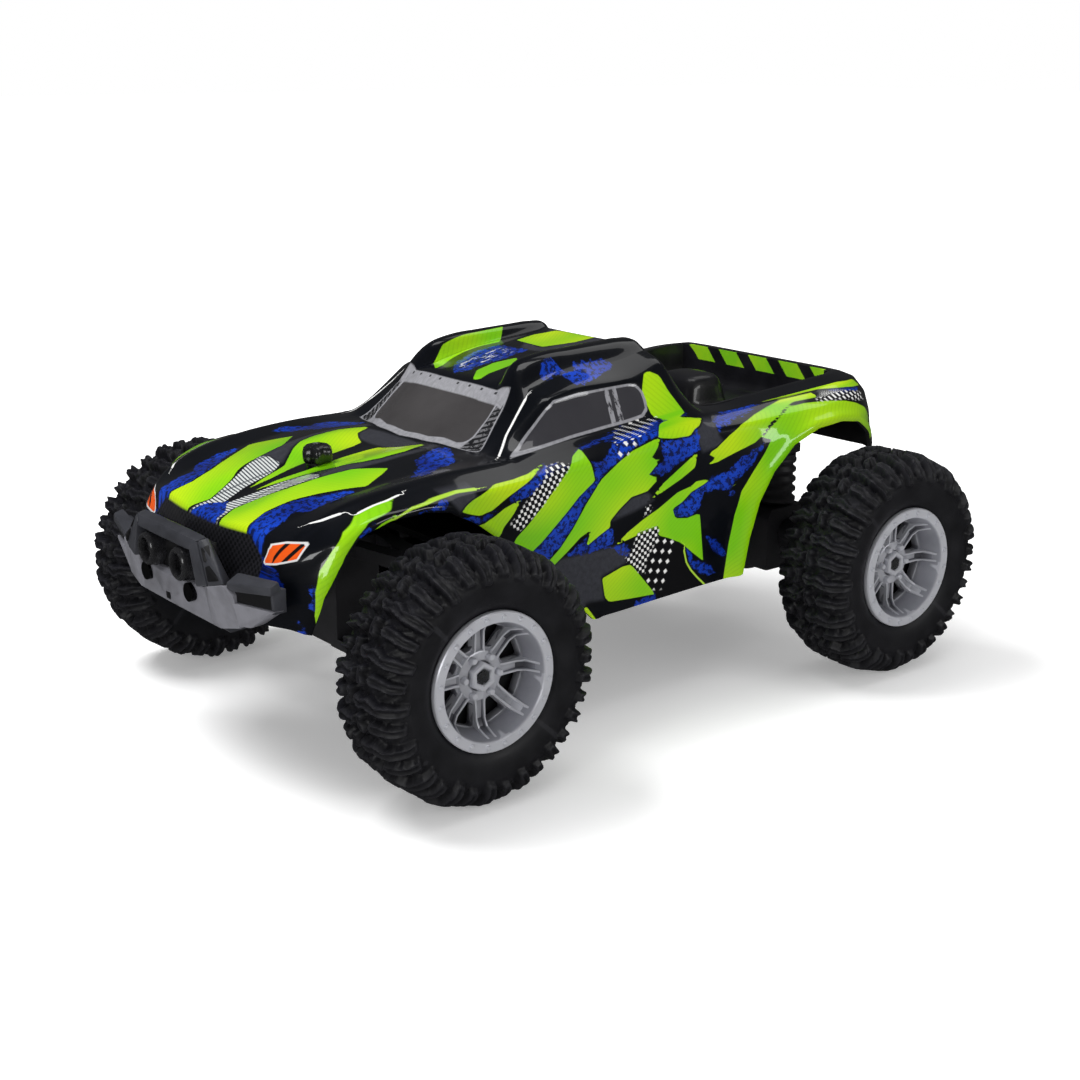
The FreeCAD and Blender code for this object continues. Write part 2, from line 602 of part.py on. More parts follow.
def spring_pad(side):
    y = side * SPRING_Y
    clamp = box(REAR_X - CLAMP_X, REAR_X + CLAMP_X, y - CLAMP_Y, y + CLAMP_Y, CLAMP_FOOT, SPRING_PAD_Z[0])
    return join(clamp, cyl_z(SPRING_PAD_Z[0], SPRING_PAD_Z[1], REAR_X, y, SPRING_PAD_R),
                cyl_z(SPRING_PAD_Z[1], SPRING_PAD_Z[1] + 1.4, REAR_X, y, 1.6))


def tube_bores():
    """Axle clearance along the tubes and bush seats at their ends."""
    tools = [cyl_y(-TUBE_END - 1, TUBE_END + 1, REAR_X, AXLE_Z, AXLE_R + 0.4)]
    for side in (1, -1):
        y0, y1 = sorted((side * (TUBE_END - 2.0), side * (TUBE_END + 1)))
        tools.append(cyl_y(y0, y1, REAR_X, AXLE_Z, 2.1))
    return tools


def gearbox_left():
    """Left half: a cup over the gears with the left axle tube."""
    cup = cut(case_outline(CASE_WALL, PLATE_Y[1], CASE_Y), case_outline(0, PLATE_Y[1] - 1, CASE_Y - 1.0))
    solid = join(cup, cyl_y(CASE_Y - 0.5, TUBE_END, REAR_X, AXLE_Z, TUBE_R), spring_pad(1))
    shaft = cyl_y(CASE_Y - 1.2, CASE_Y - 0.4, IDLER_C[0], IDLER_C[1], IDLER_SHAFT_R)
    return cut(solid, shaft, *tube_bores())


def gearbox_right():
    """Right half: gear plate, motor tray, hinge tube and the right axle tube."""
    plate = case_outline(CASE_WALL, PLATE_Y[0], PLATE_Y[1])
    hinge = cyl_y(-7.2, 7.2, POD_PIN[0], POD_PIN[1], 2.2)
    tray = join(box(-40.0, -24.4, -9.0, PLATE_Y[1], 13.2, 14.8), box(-25.0, POD_PIN[0], -7.0, PLATE_Y[1], 13.2, 14.8))
    brace = slab_z([(-40.0, -9.0), (-40.0, 0.8), (-47.0, 0.8), (-47.0, -16.0)], 17.0, 18.8)
    end_wall = box(-40.0, -38.6, -9.0, PLATE_Y[0], 13.2, 20.0)
    solid = join(plate, hinge, tray, brace, end_wall, cyl_y(-TUBE_END, PLATE_Y[0], REAR_X, AXLE_Z, TUBE_R),
                 spring_pad(-1))
    tools = [cyl_y(-10, 10, POD_PIN[0], POD_PIN[1], POD_PIN_R + RUNNING),
             cyl_y(-30, PLATE_Y[0], PINION_C[0], PINION_C[1], MOTOR_R),
             cyl_y(0, 3, PINION_C[0], PINION_C[1], 1.0),
             cyl_y(PLATE_Y[0] - 1, PLATE_Y[1] + 1, IDLER_C[0], IDLER_C[1], IDLER_SHAFT_R)]
    return cut(solid, *tools, *tube_bores())


def drive_motor():
    x, z = PINION_C
    can = cyl_y(PLATE_Y[0] - MOTOR_LEN, PLATE_Y[0], x, z, MOTOR_R)
    end_bell = cyl_y(PLATE_Y[0] - MOTOR_LEN - 1.2, PLATE_Y[0] - MOTOR_LEN, x, z, 2.6)
    tabs = [box(x + s * 4.0 - 0.8, x + s * 4.0 + 0.8, -18.0, -15.0, z - 0.2, z + 0.2) for s in (1, -1)]
    shaft = cyl_y(PLATE_Y[0] - 1, 6.0, x, z, MOTOR_SHAFT_R)
    return join(can, end_bell, shaft, *tabs)


def rear_axle():
    """Solid rear axle with stepped ends for the wheels."""
    end = WHEEL_Y + POCKET_BACK + 1.9
    step = WHEEL_Y + HUB_BACK
    return join(cyl_y(-step, step, REAR_X, AXLE_Z, AXLE_R), cyl_y(-end, end, REAR_X, AXLE_Z, STUB_R))


def axle_bushes():
    rings = []
    for side in (1, -1):
        y0, y1 = sorted((side * (TUBE_END - 2.0), side * TUBE_END))
        ring = cyl_y(y0, y1, REAR_X, AXLE_Z, 2.1)
        rings.append(ring.cut(cyl_y(y0 - 1, y1 + 1, REAR_X, AXLE_Z, AXLE_R + RUNNING)))
    return Part.makeCompound(rings)


def gearbox_screws():
    """Three screws that close the gearbox, in bosses outside its outline."""
    screws = []
    for x, z in SCREW_SPOTS:
        screws.append(join(cyl_y(CASE_Y, CASE_Y + 0.9, x, z, SCREW_HEAD_R),
                           cyl_y(PLATE_Y[0], CASE_Y + 0.2, x, z, SCREW_R)))
    return Part.makeCompound(screws)


def boss_y(y0, y1, spot):
    x, z = spot
    return cyl_y(y0, y1, x, z, SCREW_BOSS_R)


def save_rear_pod():
    bores = [cyl_y(-1, CASE_Y + 1, x, z, SCREW_R) for x, z in SCREW_SPOTS]
    left = join(gearbox_left(), *[boss_y(PLATE_Y[1], CASE_Y, s) for s in SCREW_SPOTS])
    right = join(gearbox_right(), *[boss_y(PLATE_Y[0], PLATE_Y[1], s) for s in SCREW_SPOTS])
    hollow = case_outline(0, PLATE_Y[1] - 0.01, CASE_Y - 1.0)
    save("gearbox_case_left", cut(left, hollow, *bores))
    save("gearbox_case_right", cut(right, *bores))
    save("gearbox_screws", gearbox_screws())
    save("drive_motor", drive_motor())
    save("pinion_gear", pinion_gear())
    save("idler_gear", idler_gear())
    save("idler_shaft", cyl_y(PLATE_Y[0], CASE_Y - 0.4, IDLER_C[0], IDLER_C[1], IDLER_SHAFT_R))
    save("axle_gear", axle_gear())
    save("rear_axle", rear_axle())
    save("axle_bushes", axle_bushes())
    save("pod_hinge_pin", cyl_y(-9.8, 9.8, POD_PIN[0], POD_PIN[1], POD_PIN_R))
    for name, side in SIDES.items():
        spring = coil(REAR_X, side * SPRING_Y, SPRING_PAD_Z[1], FRAME_Z[0] - 1.6, 2.5, 0.35, 6)
        save("rear_spring_%s" % name, spring)


def rear_upper_frame():
    """Plate over the rear pod that takes the springs and the body posts."""
    outline = [(-22.0, -17.0), (-19.0, -17.0), (-19.0, 17.0), (-22.0, 17.0), (-46.0, 18.6), (-52.6, 17.0),
               (-52.6, -17.0), (-46.0, -18.6)]
    plate = slab_z(outline, FRAME_Z[0], FRAME_Z[1])
    cups = [cyl_z(FRAME_Z[0] - 1.6, FRAME_Z[0], REAR_X, side * SPRING_Y, SPRING_PAD_R) for side in (1, -1)]
    return join(plate, *cups)


# ---------------------------------------------------------------- body shell

# Half sections of the shell from nose to tail. Each row goes from the centre line outwards and down:
# centre, ridge or rail, windscreen or bonnet edge, roof edge, window foot or wing crease, belt, door, sill.
SHELL_ROWS = [
    [(60.3, 0, 37.0), (60.2, 8.0, 37.3), (59.6, 12.8, 37.8), (59.3, 17.0, 37.3),
     (59.1, 20.2, 36.0), (60.0, 21.2, 33.5), (61.5, 19.4, 28.0), (62.2, 18.0, 24.8)],
    [(56.0, 0, 38.3), (56.0, 8.0, 39.0), (56.0, 13.0, 39.2), (56.0, 17.5, 38.6),
     (56.0, 22.3, 38.4), (56.0, 25.3, 35.8), (56.0, 26.4, 28.0), (56.0, 26.0, 23.6)],
    [(50.0, 0, 40.0), (50.0, 8.0, 41.0), (50.0, 13.4, 40.9), (50.0, 17.8, 40.5),
     (50.0, 22.8, 41.3), (50.0, 27.8, 39.2), (50.0, 29.0, 29.0), (50.0, 28.6, 20.0)],
    [(41.0, 0, 41.9), (41.0, 8.4, 43.0), (41.0, 14.0, 42.6), (41.0, 18.6, 42.2),
     (41.0, 23.4, 43.0), (41.0, 29.2, 41.0), (41.0, 30.0, 29.0), (41.0, 29.2, 18.0)],
    [(31.0, 0, 43.3), (31.0, 8.8, 44.3), (31.0, 14.6, 43.7), (31.0, 19.2, 43.2),
     (31.0, 23.8, 43.8), (31.0, 29.1, 41.2), (31.0, 29.6, 29.0), (31.0, 28.6, 17.0)],
    [(24.3, 0, 44.2), (23.3, 9.4, 44.4), (20.4, 15.8, 44.0), (20.6, 19.5, 44.2),
     (20.4, 23.9, 43.8), (21.0, 28.4, 41.4), (21.0, 29.2, 29.0), (21.0, 28.2, 16.7)],
    [(13.1, 0, 53.1), (12.9, 9.0, 52.9), (12.1, 14.1, 52.2), (9.6, 20.2, 51.8),
     (10.4, 23.9, 45.0), (11.0, 28.0, 42.0), (11.0, 29.0, 29.0), (11.0, 28.0, 16.4)],
    [(4.0, 0, 54.6), (4.0, 9.0, 54.9), (4.0, 14.4, 55.0), (4.0, 20.2, 52.8),
     (4.0, 24.2, 45.7), (4.0, 27.8, 42.2), (4.0, 28.8, 29.0), (4.0, 28.0, 16.4)],
    [(-8.0, 0, 56.3), (-8.0, 9.0, 56.4), (-8.0, 14.6, 56.2), (-8.0, 20.4, 53.0),
     (-8.0, 24.4, 46.8), (-8.0, 27.8, 42.8), (-8.0, 28.8, 29.0), (-8.0, 28.0, 16.9)],
    [(-14.2, 0, 57.2), (-14.4, 9.0, 57.2), (-14.8, 14.6, 57.0), (-15.0, 19.6, 55.2),
     (-15.5, 24.6, 47.6), (-15.6, 27.9, 43.2), (-16.0, 29.0, 29.0), (-16.6, 28.1, 17.3)],
    [(-19.8, 0, 47.4), (-19.8, 9.0, 47.4), (-20.0, 15.0, 47.3), (-20.4, 20.4, 47.0),
     (-20.8, 24.6, 46.0), (-21.0, 28.0, 43.8), (-21.6, 29.4, 30.0), (-22.4, 28.4, 17.6)],
    [(-36.0, 0, 47.0), (-36.0, 9.0, 47.0), (-36.0, 15.0, 47.0), (-36.0, 20.8, 47.0),
     (-36.0, 24.6, 46.4), (-36.0, 28.6, 44.7), (-36.0, 31.0, 37.0), (-36.0, 30.6, 22.0)],
    [(-47.0, 0, 47.8), (-47.0, 9.0, 47.8), (-47.0, 15.0, 47.8), (-47.0, 20.8, 47.8),
     (-47.0, 24.6, 47.1), (-47.0, 28.6, 45.2), (-47.0, 31.0, 39.0), (-47.0, 30.6, 30.0)],
    [(-56.0, 0, 48.4), (-56.0, 9.0, 48.4), (-56.0, 15.0, 48.4), (-56.0, 20.6, 48.4),
     (-56.0, 24.3, 47.7), (-56.0, 27.4, 45.6), (-56.0, 29.3, 38.5), (-56.0, 29.0, 33.0)],
    [(-59.6, 0, 48.6), (-59.6, 9.0, 48.6), (-59.6, 15.0, 48.6), (-59.6, 19.6, 48.5),
     (-60.1, 22.6, 47.9), (-60.8, 24.8, 45.4), (-62.1, 25.5, 38.0), (-62.8, 25.2, 34.6)],
]


def shell_section(row, inset, drop):
    """Closed section from a half row, pulled in by the wall thickness and taken down at the sill."""
    half = []
    for k, (x, y, z) in enumerate(row):
        inward = max(0.0, y - inset)
        if k == len(row) - 1:
            half.append(V(x, inward, z - drop))
        else:
            half.append(V(x, inward, z - inset))
    return half + [V(p.x, -p.y, p.z) for p in reversed(half[1:])]


def shell_hull(inset, drop, trim):
    rows = [shell_section(row, inset, drop) for row in SHELL_ROWS]
    if trim > 0:
        rows[0] = [p - V(trim, 0, 0) for p in rows[0]]
        rows[-1] = [p + V(trim, 0, 0) for p in rows[-1]]
    return skin_solid(rows)


def arch_tools():
    """Wheel arches, with the front one running out along a slant to the sill."""
    tools = []
    for side in (1, -1):
        y0, y1 = sorted((side * 21.5, side * 40.0))
        tools.append(cyl_y(y0, y1, FRONT_X, AXLE_Z - 1.2, FRONT_ARCH_R - 0.6))
        tools.append(cyl_y(y0, y1, REAR_X, AXLE_Z, REAR_ARCH_R))
        slant = [(5.5, 10.0), (7.6, 16.8), (22.6, 31.6), (40.0, 36.0), (60.0, 10.0)]
        tools.append(slab_y(slant, y0, y1))
        tools.append(slab_y([(-26.0, 10.0), (-26.0, 19.0), (-48.0, 30.0), (-70.0, 34.6), (-70.0, 10.0)], y0, y1))
    return tools


def roof_rail(side):
    """Raised rail along the roof edge, sloped at the front and back."""
    outline = [(11.4, 53.0), (11.3, 55.3), (7.9, 57.4), (-12.3, 58.2), (-16.0, 56.4), (-15.0, 55.0)]
    y0, y1 = sorted((side * 9.2, side * 13.6))
    return slab_y(outline, y0, y1)


def body_shell():
    """Thin moulded shell: cab, bonnet, wheel arches and an open bed with a tray floor."""
    outer = join(shell_hull(0, 0, 0), roof_rail(1), roof_rail(-1))
    inner = shell_hull(SKIN, 12.0, SKIN)
    x0, x1 = BED_X
    hump = box(HUMP_X[0], HUMP_X[1], -HUMP_HALF, HUMP_HALF, BED_FLOOR - 1, HUMP_TOP)
    under_hump = box(HUMP_X[0] + SKIN, HUMP_X[1] - SKIN, SKIN - HUMP_HALF, HUMP_HALF - SKIN, 30.0, HUMP_TOP - SKIN)
    bed = box(x0, x1, -BED_HALF, BED_HALF, BED_FLOOR, 60.0).cut(hump)
    tray = box(x0 - SKIN, x1 + SKIN, -BED_HALF - SKIN, BED_HALF + SKIN, BED_FLOOR - SKIN, 48.6)
    cavity = inner.cut(tray.cut(under_hump))
    hole = cyl_z(30.0, 50.0, 39.9, 0, 1.75)
    mount_gap = box(58.0, 64.0, -8.1, 8.1, 15.0, 30.3)
    return outer.cut([cavity, bed, hole, mount_gap] + arch_tools())


def bonnet_clip():
    """Round grooved knob that holds the bonnet on its post."""
    knob = join(cyl_z(42.55, 43.5, 39.9, 0, 2.4), cyl_z(43.4, 45.2, 39.9, 0, 2.1))
    grooves = []
    for k in range(8):
        angle = math.pi * k / 4
        grooves.append(cyl_z(43.8, 46.0, 39.9 + 2.3 * math.cos(angle), 2.3 * math.sin(angle), 0.4))
    return cut(knob, cyl_z(40.0, 43.6, 39.9, 0, 1.6), *grooves)


def rear_body_posts():
    posts = [cyl_z(FRAME_Z[1], BED_FLOOR - SKIN, REAR_X, side * 9.0, 1.8) for side in (1, -1)]
    return Part.makeCompound(posts)


# ---------------------------------------------------------------- front bumper

def bumper_wing():
    """Swept side wing of the bumper, left."""
    outer = [V(63.2, 25.6, 32.4), V(63.4, 25.4, 28.4), V(61.9, 22.6, 24.0), V(58.6, 22.6, 24.6), V(58.8, 25.0, 28.4),
             V(59.2, 25.2, 32.8)]
    inner = [V(66.2, 15.0, 31.6), V(66.2, 15.0, 27.8), V(65.4, 13.0, 23.0), V(62.4, 13.0, 23.0), V(62.4, 15.0, 27.8),
             V(62.4, 15.0, 31.8)]
    return skin_solid([outer, inner])


def front_bumper():
    """Bumper with a chamfered hoop, LED housings, centre plate and swept wings."""
    hoop_out = [(-10.0, 36.6), (10.0, 36.6), (16.4, 31.2), (15.4, 27.6), (-15.4, 27.6), (-16.4, 31.2)]
    hoop_in = [(-8.6, 34.6), (8.6, 34.6), (12.6, 31.0), (11.4, 29.2), (-11.4, 29.2), (-12.6, 31.0)]
    hoop = slab_x(hoop_out, 62.4, 66.5).cut(slab_x(hoop_in, 61.0, 70.0))
    plate = slab_x([(-12.6, 23.0), (-13.6, 29.4), (13.6, 29.4), (12.6, 23.0)], 62.4, 66.6)
    skid = slab_x([(-12.6, 23.2), (12.6, 23.2), (11.0, 21.4), (-11.0, 21.4)], 61.0, 64.4)
    mount = box(NOSE_X, 62.6, -7.8, 7.8, 22.0, 30.0)
    lamps = [cyl_x(62.4, -BACK_X, s * 5.3, 31.8, 2.5) for s in (1, -1)]
    bridge = box(62.4, 65.4, -8.8, 8.8, 29.0, 32.4)
    solid = join(hoop, plate, skid, mount, bridge, *lamps, *both(bumper_wing()))
    tools = [cyl_x(64.6, 68.0, s * 5.3, 31.8, 1.6) for s in (1, -1)]
    tools += [cyl_x(58.0, 68.0, s * 7.0, 27.7, SCREW_R) for s in (1, -1)]
    tools += [cyl_x(66.2, 68.0, s * 7.0, 27.7, 1.5) for s in (1, -1)]
    tools.append(box(65.4, 68.0, -1.6, 1.6, 24.2, 26.6))
    tools += both(box(50.0, 62.35, 8.1, 21.7, 23.9, 34.0))
    return cut(solid, *tools)


def bumper_screws():
    screws = []
    for s in (1, -1):
        screws.append(join(cyl_x(66.2, 67.0, s * 7.0, 27.7, 1.45), cyl_x(57.0, 66.4, s * 7.0, 27.7, SCREW_R)))
    return Part.makeCompound(screws)


def headlights():
    lamps = [join(cyl_x(64.6, 66.2, s * 5.3, 31.8, 1.55), Part.makeSphere(1.2, V(66.2, s * 5.3, 31.8)))
             for s in (1, -1)]
    return Part.makeCompound(lamps)


def save_body():
    save("body_shell", body_shell())
    save("bonnet_clip", bonnet_clip())
    save("rear_body_posts", rear_body_posts())
    save("rear_upper_frame", rear_upper_frame())
    save("front_bumper", front_bumper())
    save("bumper_screws", bumper_screws())
    save("headlights", headlights())


os.makedirs("parts", exist_ok=True)
save_wheels()
save_front_end()
save_chassis()
save_rear_pod()
save_body()
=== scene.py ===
# Visual model of the small radio-controlled monster truck. Lengths in the tables are in
# millimetres in the row frame: X forward, Y to the truck's left, Z up from the ground.
import json
import math

import bmesh
import bpy
import numpy as np
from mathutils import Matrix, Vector


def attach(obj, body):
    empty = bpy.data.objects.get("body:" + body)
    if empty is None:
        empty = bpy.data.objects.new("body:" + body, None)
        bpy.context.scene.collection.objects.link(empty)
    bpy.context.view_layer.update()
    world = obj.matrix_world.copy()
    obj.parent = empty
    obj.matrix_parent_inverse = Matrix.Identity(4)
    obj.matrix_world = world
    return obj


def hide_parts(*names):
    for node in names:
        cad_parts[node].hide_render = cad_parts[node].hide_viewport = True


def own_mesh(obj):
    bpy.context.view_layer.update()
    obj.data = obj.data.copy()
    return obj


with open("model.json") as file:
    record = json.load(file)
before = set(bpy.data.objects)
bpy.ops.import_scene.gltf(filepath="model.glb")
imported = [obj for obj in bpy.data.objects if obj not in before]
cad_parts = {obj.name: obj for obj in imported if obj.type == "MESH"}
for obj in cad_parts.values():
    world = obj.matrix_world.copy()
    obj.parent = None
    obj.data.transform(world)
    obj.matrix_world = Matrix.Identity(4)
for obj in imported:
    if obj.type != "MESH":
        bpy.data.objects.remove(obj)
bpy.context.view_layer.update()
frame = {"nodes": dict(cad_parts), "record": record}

MM = 0.001


# ------------------------------------------------------------------ small mesh tools

SIDES = ((1, "left"), (-1, "right"))
WELD_DISTANCE = 1e-7


def shade(bm, sharp_angle):
    """Smooth shading with the edges above the given angle kept sharp."""
    limit = math.radians(sharp_angle)
    for face in bm.faces:
        face.smooth = True
    for edge in bm.edges:
        edge.smooth = len(edge.link_faces) == 2 and edge.calc_face_angle(0.0) < limit


def finish_mesh(mesh, sharp_angle):
    """Marks the sharp edges of a mesh."""
    bm = bmesh.new()
    bm.from_mesh(mesh)
    shade(bm, sharp_angle)
    bm.to_mesh(mesh)
    bm.free()


def tidy_mesh(mesh, sharp_angle):
    """Welds, turns faces outwards and marks the sharp edges."""
    bm = bmesh.new()
    bm.from_mesh(mesh)
    bmesh.ops.remove_doubles(bm, verts=bm.verts, dist=WELD_DISTANCE)
    bmesh.ops.recalc_face_normals(bm, faces=bm.faces)
    shade(bm, sharp_angle)
    bm.to_mesh(mesh)
    bm.free()


def add_object(name, data):
    """A new object in the scene."""
    obj = bpy.data.objects.new(name, data)
    bpy.context.scene.collection.objects.link(obj)
    return obj


def new_piece(name, verts, faces, material, body, sharp_angle):
    """A mesh object from millimetre vertices, shaded, riding on its body."""
    mesh = bpy.data.meshes.new(name)
    mesh.from_pydata([tuple(c * MM for c in v) for v in verts], [], [tuple(f) for f in faces])
    mesh.validate()
    mesh.update()
    obj = add_object(name, mesh)
    mesh.materials.append(material)
    finish_mesh(mesh, sharp_angle)
    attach(obj, body)
    return obj


class Solid:
    """Collects closed sub-shapes that make one piece."""

    def __init__(self):
        self.verts = []
        self.faces = []

    def add(self, verts, faces):
        base = len(self.verts)
        self.verts += [tuple(float(c) for c in v) for v in verts]
        self.faces += [tuple(base + i for i in f) for f in faces]

    def rings(self, loops):
        """Skin through loops, with the first and the last one capped."""
        n = len(loops[0])
        verts = [v for loop in loops for v in loop]
        faces = []
        for r in range(len(loops) - 1):
            for i in range(n):
                j = (i + 1) % n
                faces.append((r * n + i, r * n + j, (r + 1) * n + j, (r + 1) * n + i))
        faces.append(tuple(range(n))[::-1])
        last = (len(loops) - 1) * n
        faces.append(tuple(range(last, last + n)))
        self.add(verts, faces)

    def lathe(self, profile, steps, place):
        """Closed (radius, height) profile turned about an axis; place maps (r, angle, h)."""
        n = len(profile)
        verts = []
        for s in range(steps):
            angle = 2 * math.pi * s / steps
            verts += [place(r, angle, h) for r, h in profile]
        faces = []
        for s in range(steps):
            t = (s + 1) % steps
            for i in range(n):
                j = (i + 1) % n
                faces.append((s * n + i, s * n + j, t * n + j, t * n + i))
        self.add(verts, faces)


def rounded(points, radius, steps=3):
    """Closed 2-D outline with its corners rounded."""
    out = []
    n = len(points)
    for i in range(n):
        p0, p1, p2 = (np.array(points[k % n], float) for k in (i - 1, i, i + 1))
        a, b = p0 - p1, p2 - p1
        cut = min(radius, 0.45 * np.linalg.norm(a), 0.45 * np.linalg.norm(b))
        a = p1 + a / np.linalg.norm(a) * cut
        b = p1 + b / np.linalg.norm(b) * cut
        for k in range(steps + 1):
            t = k / steps
            out.append(tuple((1 - t) ** 2 * a + 2 * t * (1 - t) * p1 + t ** 2 * b))
    return out


# ------------------------------------------------------------------ materials

def srgb(r, g, b):
    """Display colour 0-255 to a linear RGBA tuple."""
    def lin(c):
        c /= 255.0
        return c / 12.92 if c <= 0.04045 else ((c + 0.055) / 1.055) ** 2.4
    return (lin(r), lin(g), lin(b), 1.0)


GRAIN_SCALE = 2600.0


class Graph:
    """Short wrapper for building one material's nodes."""

    def __init__(self, name):
        self.mat = bpy.data.materials.new(name)
        self.mat.use_nodes = True
        self.tree = self.mat.node_tree
        self.shader = self.tree.nodes["Principled BSDF"]
        self.coord = self.tree.nodes.new("ShaderNodeTexCoord").outputs["Object"]

    def put(self, socket, value):
        if isinstance(value, bpy.types.NodeSocket):
            self.tree.links.new(value, socket)
        else:
            socket.default_value = value

    def node(self, kind, inputs=(), **settings):
        node = self.tree.nodes.new(kind)
        for key, value in settings.items():
            setattr(node, key, value)
        for key, value in dict(inputs).items():
            self.put(node.inputs[key], value)
        return node

    def math(self, operation, a, b=0.0, c=None):
        inputs = {0: a, 1: b}
        if c is not None:
            inputs[2] = c
        return self.node("ShaderNodeMath", inputs, operation=operation).outputs[0]

    def times(self, a, b):
        return self.math("MULTIPLY", a, b)

    def plus(self, a, b):
        return self.math("ADD", a, b)

    def minus(self, a, b):
        return self.math("SUBTRACT", a, b)

    def size(self, a):
        return self.math("ABSOLUTE", a)

    def mix(self, factor, a, b):
        node = self.node("ShaderNodeMix", data_type="RGBA")
        self.put(node.inputs[0], factor)
        self.put(node.inputs[6], a)
        self.put(node.inputs[7], b)
        return node.outputs[2]

    def ramp(self, value, low, high, out_low=0.0, out_high=1.0):
        inputs = {0: value, 1: low, 2: high, 3: out_low, 4: out_high}
        return self.node("ShaderNodeMapRange", inputs, clamp=True).outputs[0]

    def noise(self, scale, detail=3.0, roughness=0.5, vector=None, distortion=0.0):
        inputs = {"Vector": vector or self.coord, "Scale": scale, "Detail": detail,
                  "Roughness": roughness, "Distortion": distortion}
        return self.node("ShaderNodeTexNoise", inputs).outputs[0]

    def fall(self, value, low, high):
        """One below low, zero above high."""
        return self.ramp(value, low, high, 1.0, 0.0)

    def fold(self, value, pitch):
        """Distance from the middle of each repeat, as a share of the pitch."""
        return self.size(self.minus(self.math("FRACT", self.math("DIVIDE", value, pitch)), 0.5))

    def attribute(self, name):
        return self.node("ShaderNodeAttribute", attribute_name=name).outputs["Fac"]

    def bump(self, height, strength, distance):
        inputs = {"Height": height, "Strength": strength, "Distance": distance * MM}
        self.put(self.shader.inputs["Normal"], self.node("ShaderNodeBump", inputs).outputs[0])

    def set(self, **values):
        names = {"color": "Base Color", "rough": "Roughness", "metal": "Metallic", "coat": "Coat Weight",
                 "coat_rough": "Coat Roughness", "specular": "Specular IOR Level",
                 "emission": "Emission Color", "glow": "Emission Strength"}
        for key, value in values.items():
            self.put(self.shader.inputs[names[key]], value)


def scaled(color, factor, lift=0.0):
    """A colour made lighter or darker, and opaque."""
    return tuple(min(1.0, c * factor + lift) for c in color[:3]) + (1.0,)


def moulded(name, color, rough, grain=0.35, coat=0.0, tint=0.25, metal=0.0):
    """Moulded plastic or metal: fine grain, cloudy colour change and worn, shinier edges."""
    g = Graph(name)
    cloud = g.noise(240.0, 4.0, 0.6)
    fine = g.noise(GRAIN_SCALE, 2.0, 0.6)
    base = g.mix(g.ramp(cloud, 0.35, 0.65), scaled(color, 1 - tint), scaled(color, 1 + tint))
    edge = g.node("ShaderNodeNewGeometry").outputs["Pointiness"]
    worn = g.ramp(edge, 0.51, 0.56)
    base = g.mix(g.times(worn, 0.35), base, scaled(color, 1.8, 0.01))
    g.set(color=base, metal=metal, coat=coat)
    clouded = g.ramp(cloud, 0.3, 0.7, rough - 0.06, rough + 0.06)
    g.set(rough=g.plus(clouded, g.times(fine, 0.08)))
    g.bump(fine, grain, 0.02)
    return g.mat


def brushed(name, color, rough):
    """Plated or ground metal with fine turning lines."""
    g = Graph(name)
    stretch = g.node("ShaderNodeMapping", {"Vector": g.coord, "Scale": (1.0, 9.0, 1.0)}).outputs[0]
    lines = g.noise(1500.0, 3.0, 0.6, vector=stretch)
    cloud = g.noise(300.0, 3.0, 0.6)
    g.set(color=g.mix(g.ramp(cloud, 0.3, 0.7), scaled(color, 0.72), color), metal=1.0)
    g.set(rough=g.ramp(lines, 0.3, 0.7, rough - 0.08, rough + 0.1))
    g.bump(lines, 0.15, 0.01)
    return g.mat


def rim_paint():
    """Silver moulding with painted shade, darker towards the bottom of the dish and in its hollows, and a
    painted highlight that brightens its edges.
    """
    g = Graph("rim_silver")
    cloud = g.noise(240.0, 4.0, 0.6)
    fine = g.noise(GRAIN_SCALE, 2.0, 0.6)
    depth = g.times(g.node("ShaderNodeSeparateXYZ", {"Vector": g.coord}).outputs["Y"], 1000.0)
    edge = g.node("ShaderNodeNewGeometry").outputs["Pointiness"]
    base = g.mix(g.ramp(cloud, 0.35, 0.65), srgb(160, 161, 169), srgb(172, 173, 181))
    # painted shade: darker towards the bottom of the dish
    base = g.mix(g.ramp(depth, 2.2, 6.4, 0.7, 0.0), base, srgb(84, 85, 92))
    # painted shade in the hollows
    base = g.mix(g.ramp(edge, 0.43, 0.49, 0.75, 0.0), base, srgb(52, 52, 58))
    # painted highlight: brighter along the edges
    base = g.mix(g.ramp(edge, 0.51, 0.56, 0.0, 0.7), base, srgb(228, 229, 235))
    g.set(color=base, metal=0.5, coat=0.1)
    g.set(rough=g.plus(g.ramp(cloud, 0.3, 0.7, 0.29, 0.34), g.times(fine, 0.06)))
    g.bump(fine, 0.15, 0.02)
    return g.mat


def rubber():
    """Matte black tyre rubber with a painted highlight that lightens the lug edges and a fine moulded
    texture.
    """
    g = Graph("tyre_rubber")
    cloud = g.noise(160.0, 5.0, 0.65)
    fine = g.noise(3200.0, 2.0, 0.7)
    base = g.mix(g.ramp(cloud, 0.35, 0.7), srgb(13, 13, 17), srgb(24, 24, 29))
    edge = g.node("ShaderNodeNewGeometry").outputs["Pointiness"]
    # painted highlight: lighter along the raised lug edges
    base = g.mix(g.times(g.ramp(edge, 0.5, 0.58), 0.4), base, srgb(48, 48, 53))
    g.set(color=base, specular=0.5)
    g.set(rough=g.plus(g.ramp(cloud, 0.3, 0.7, 0.38, 0.52), g.times(fine, 0.1)))
    g.bump(g.plus(fine, g.times(cloud, 0.6)), 0.35, 0.05)
    return g.mat


# ------------------------------------------------------------------ body shell surface

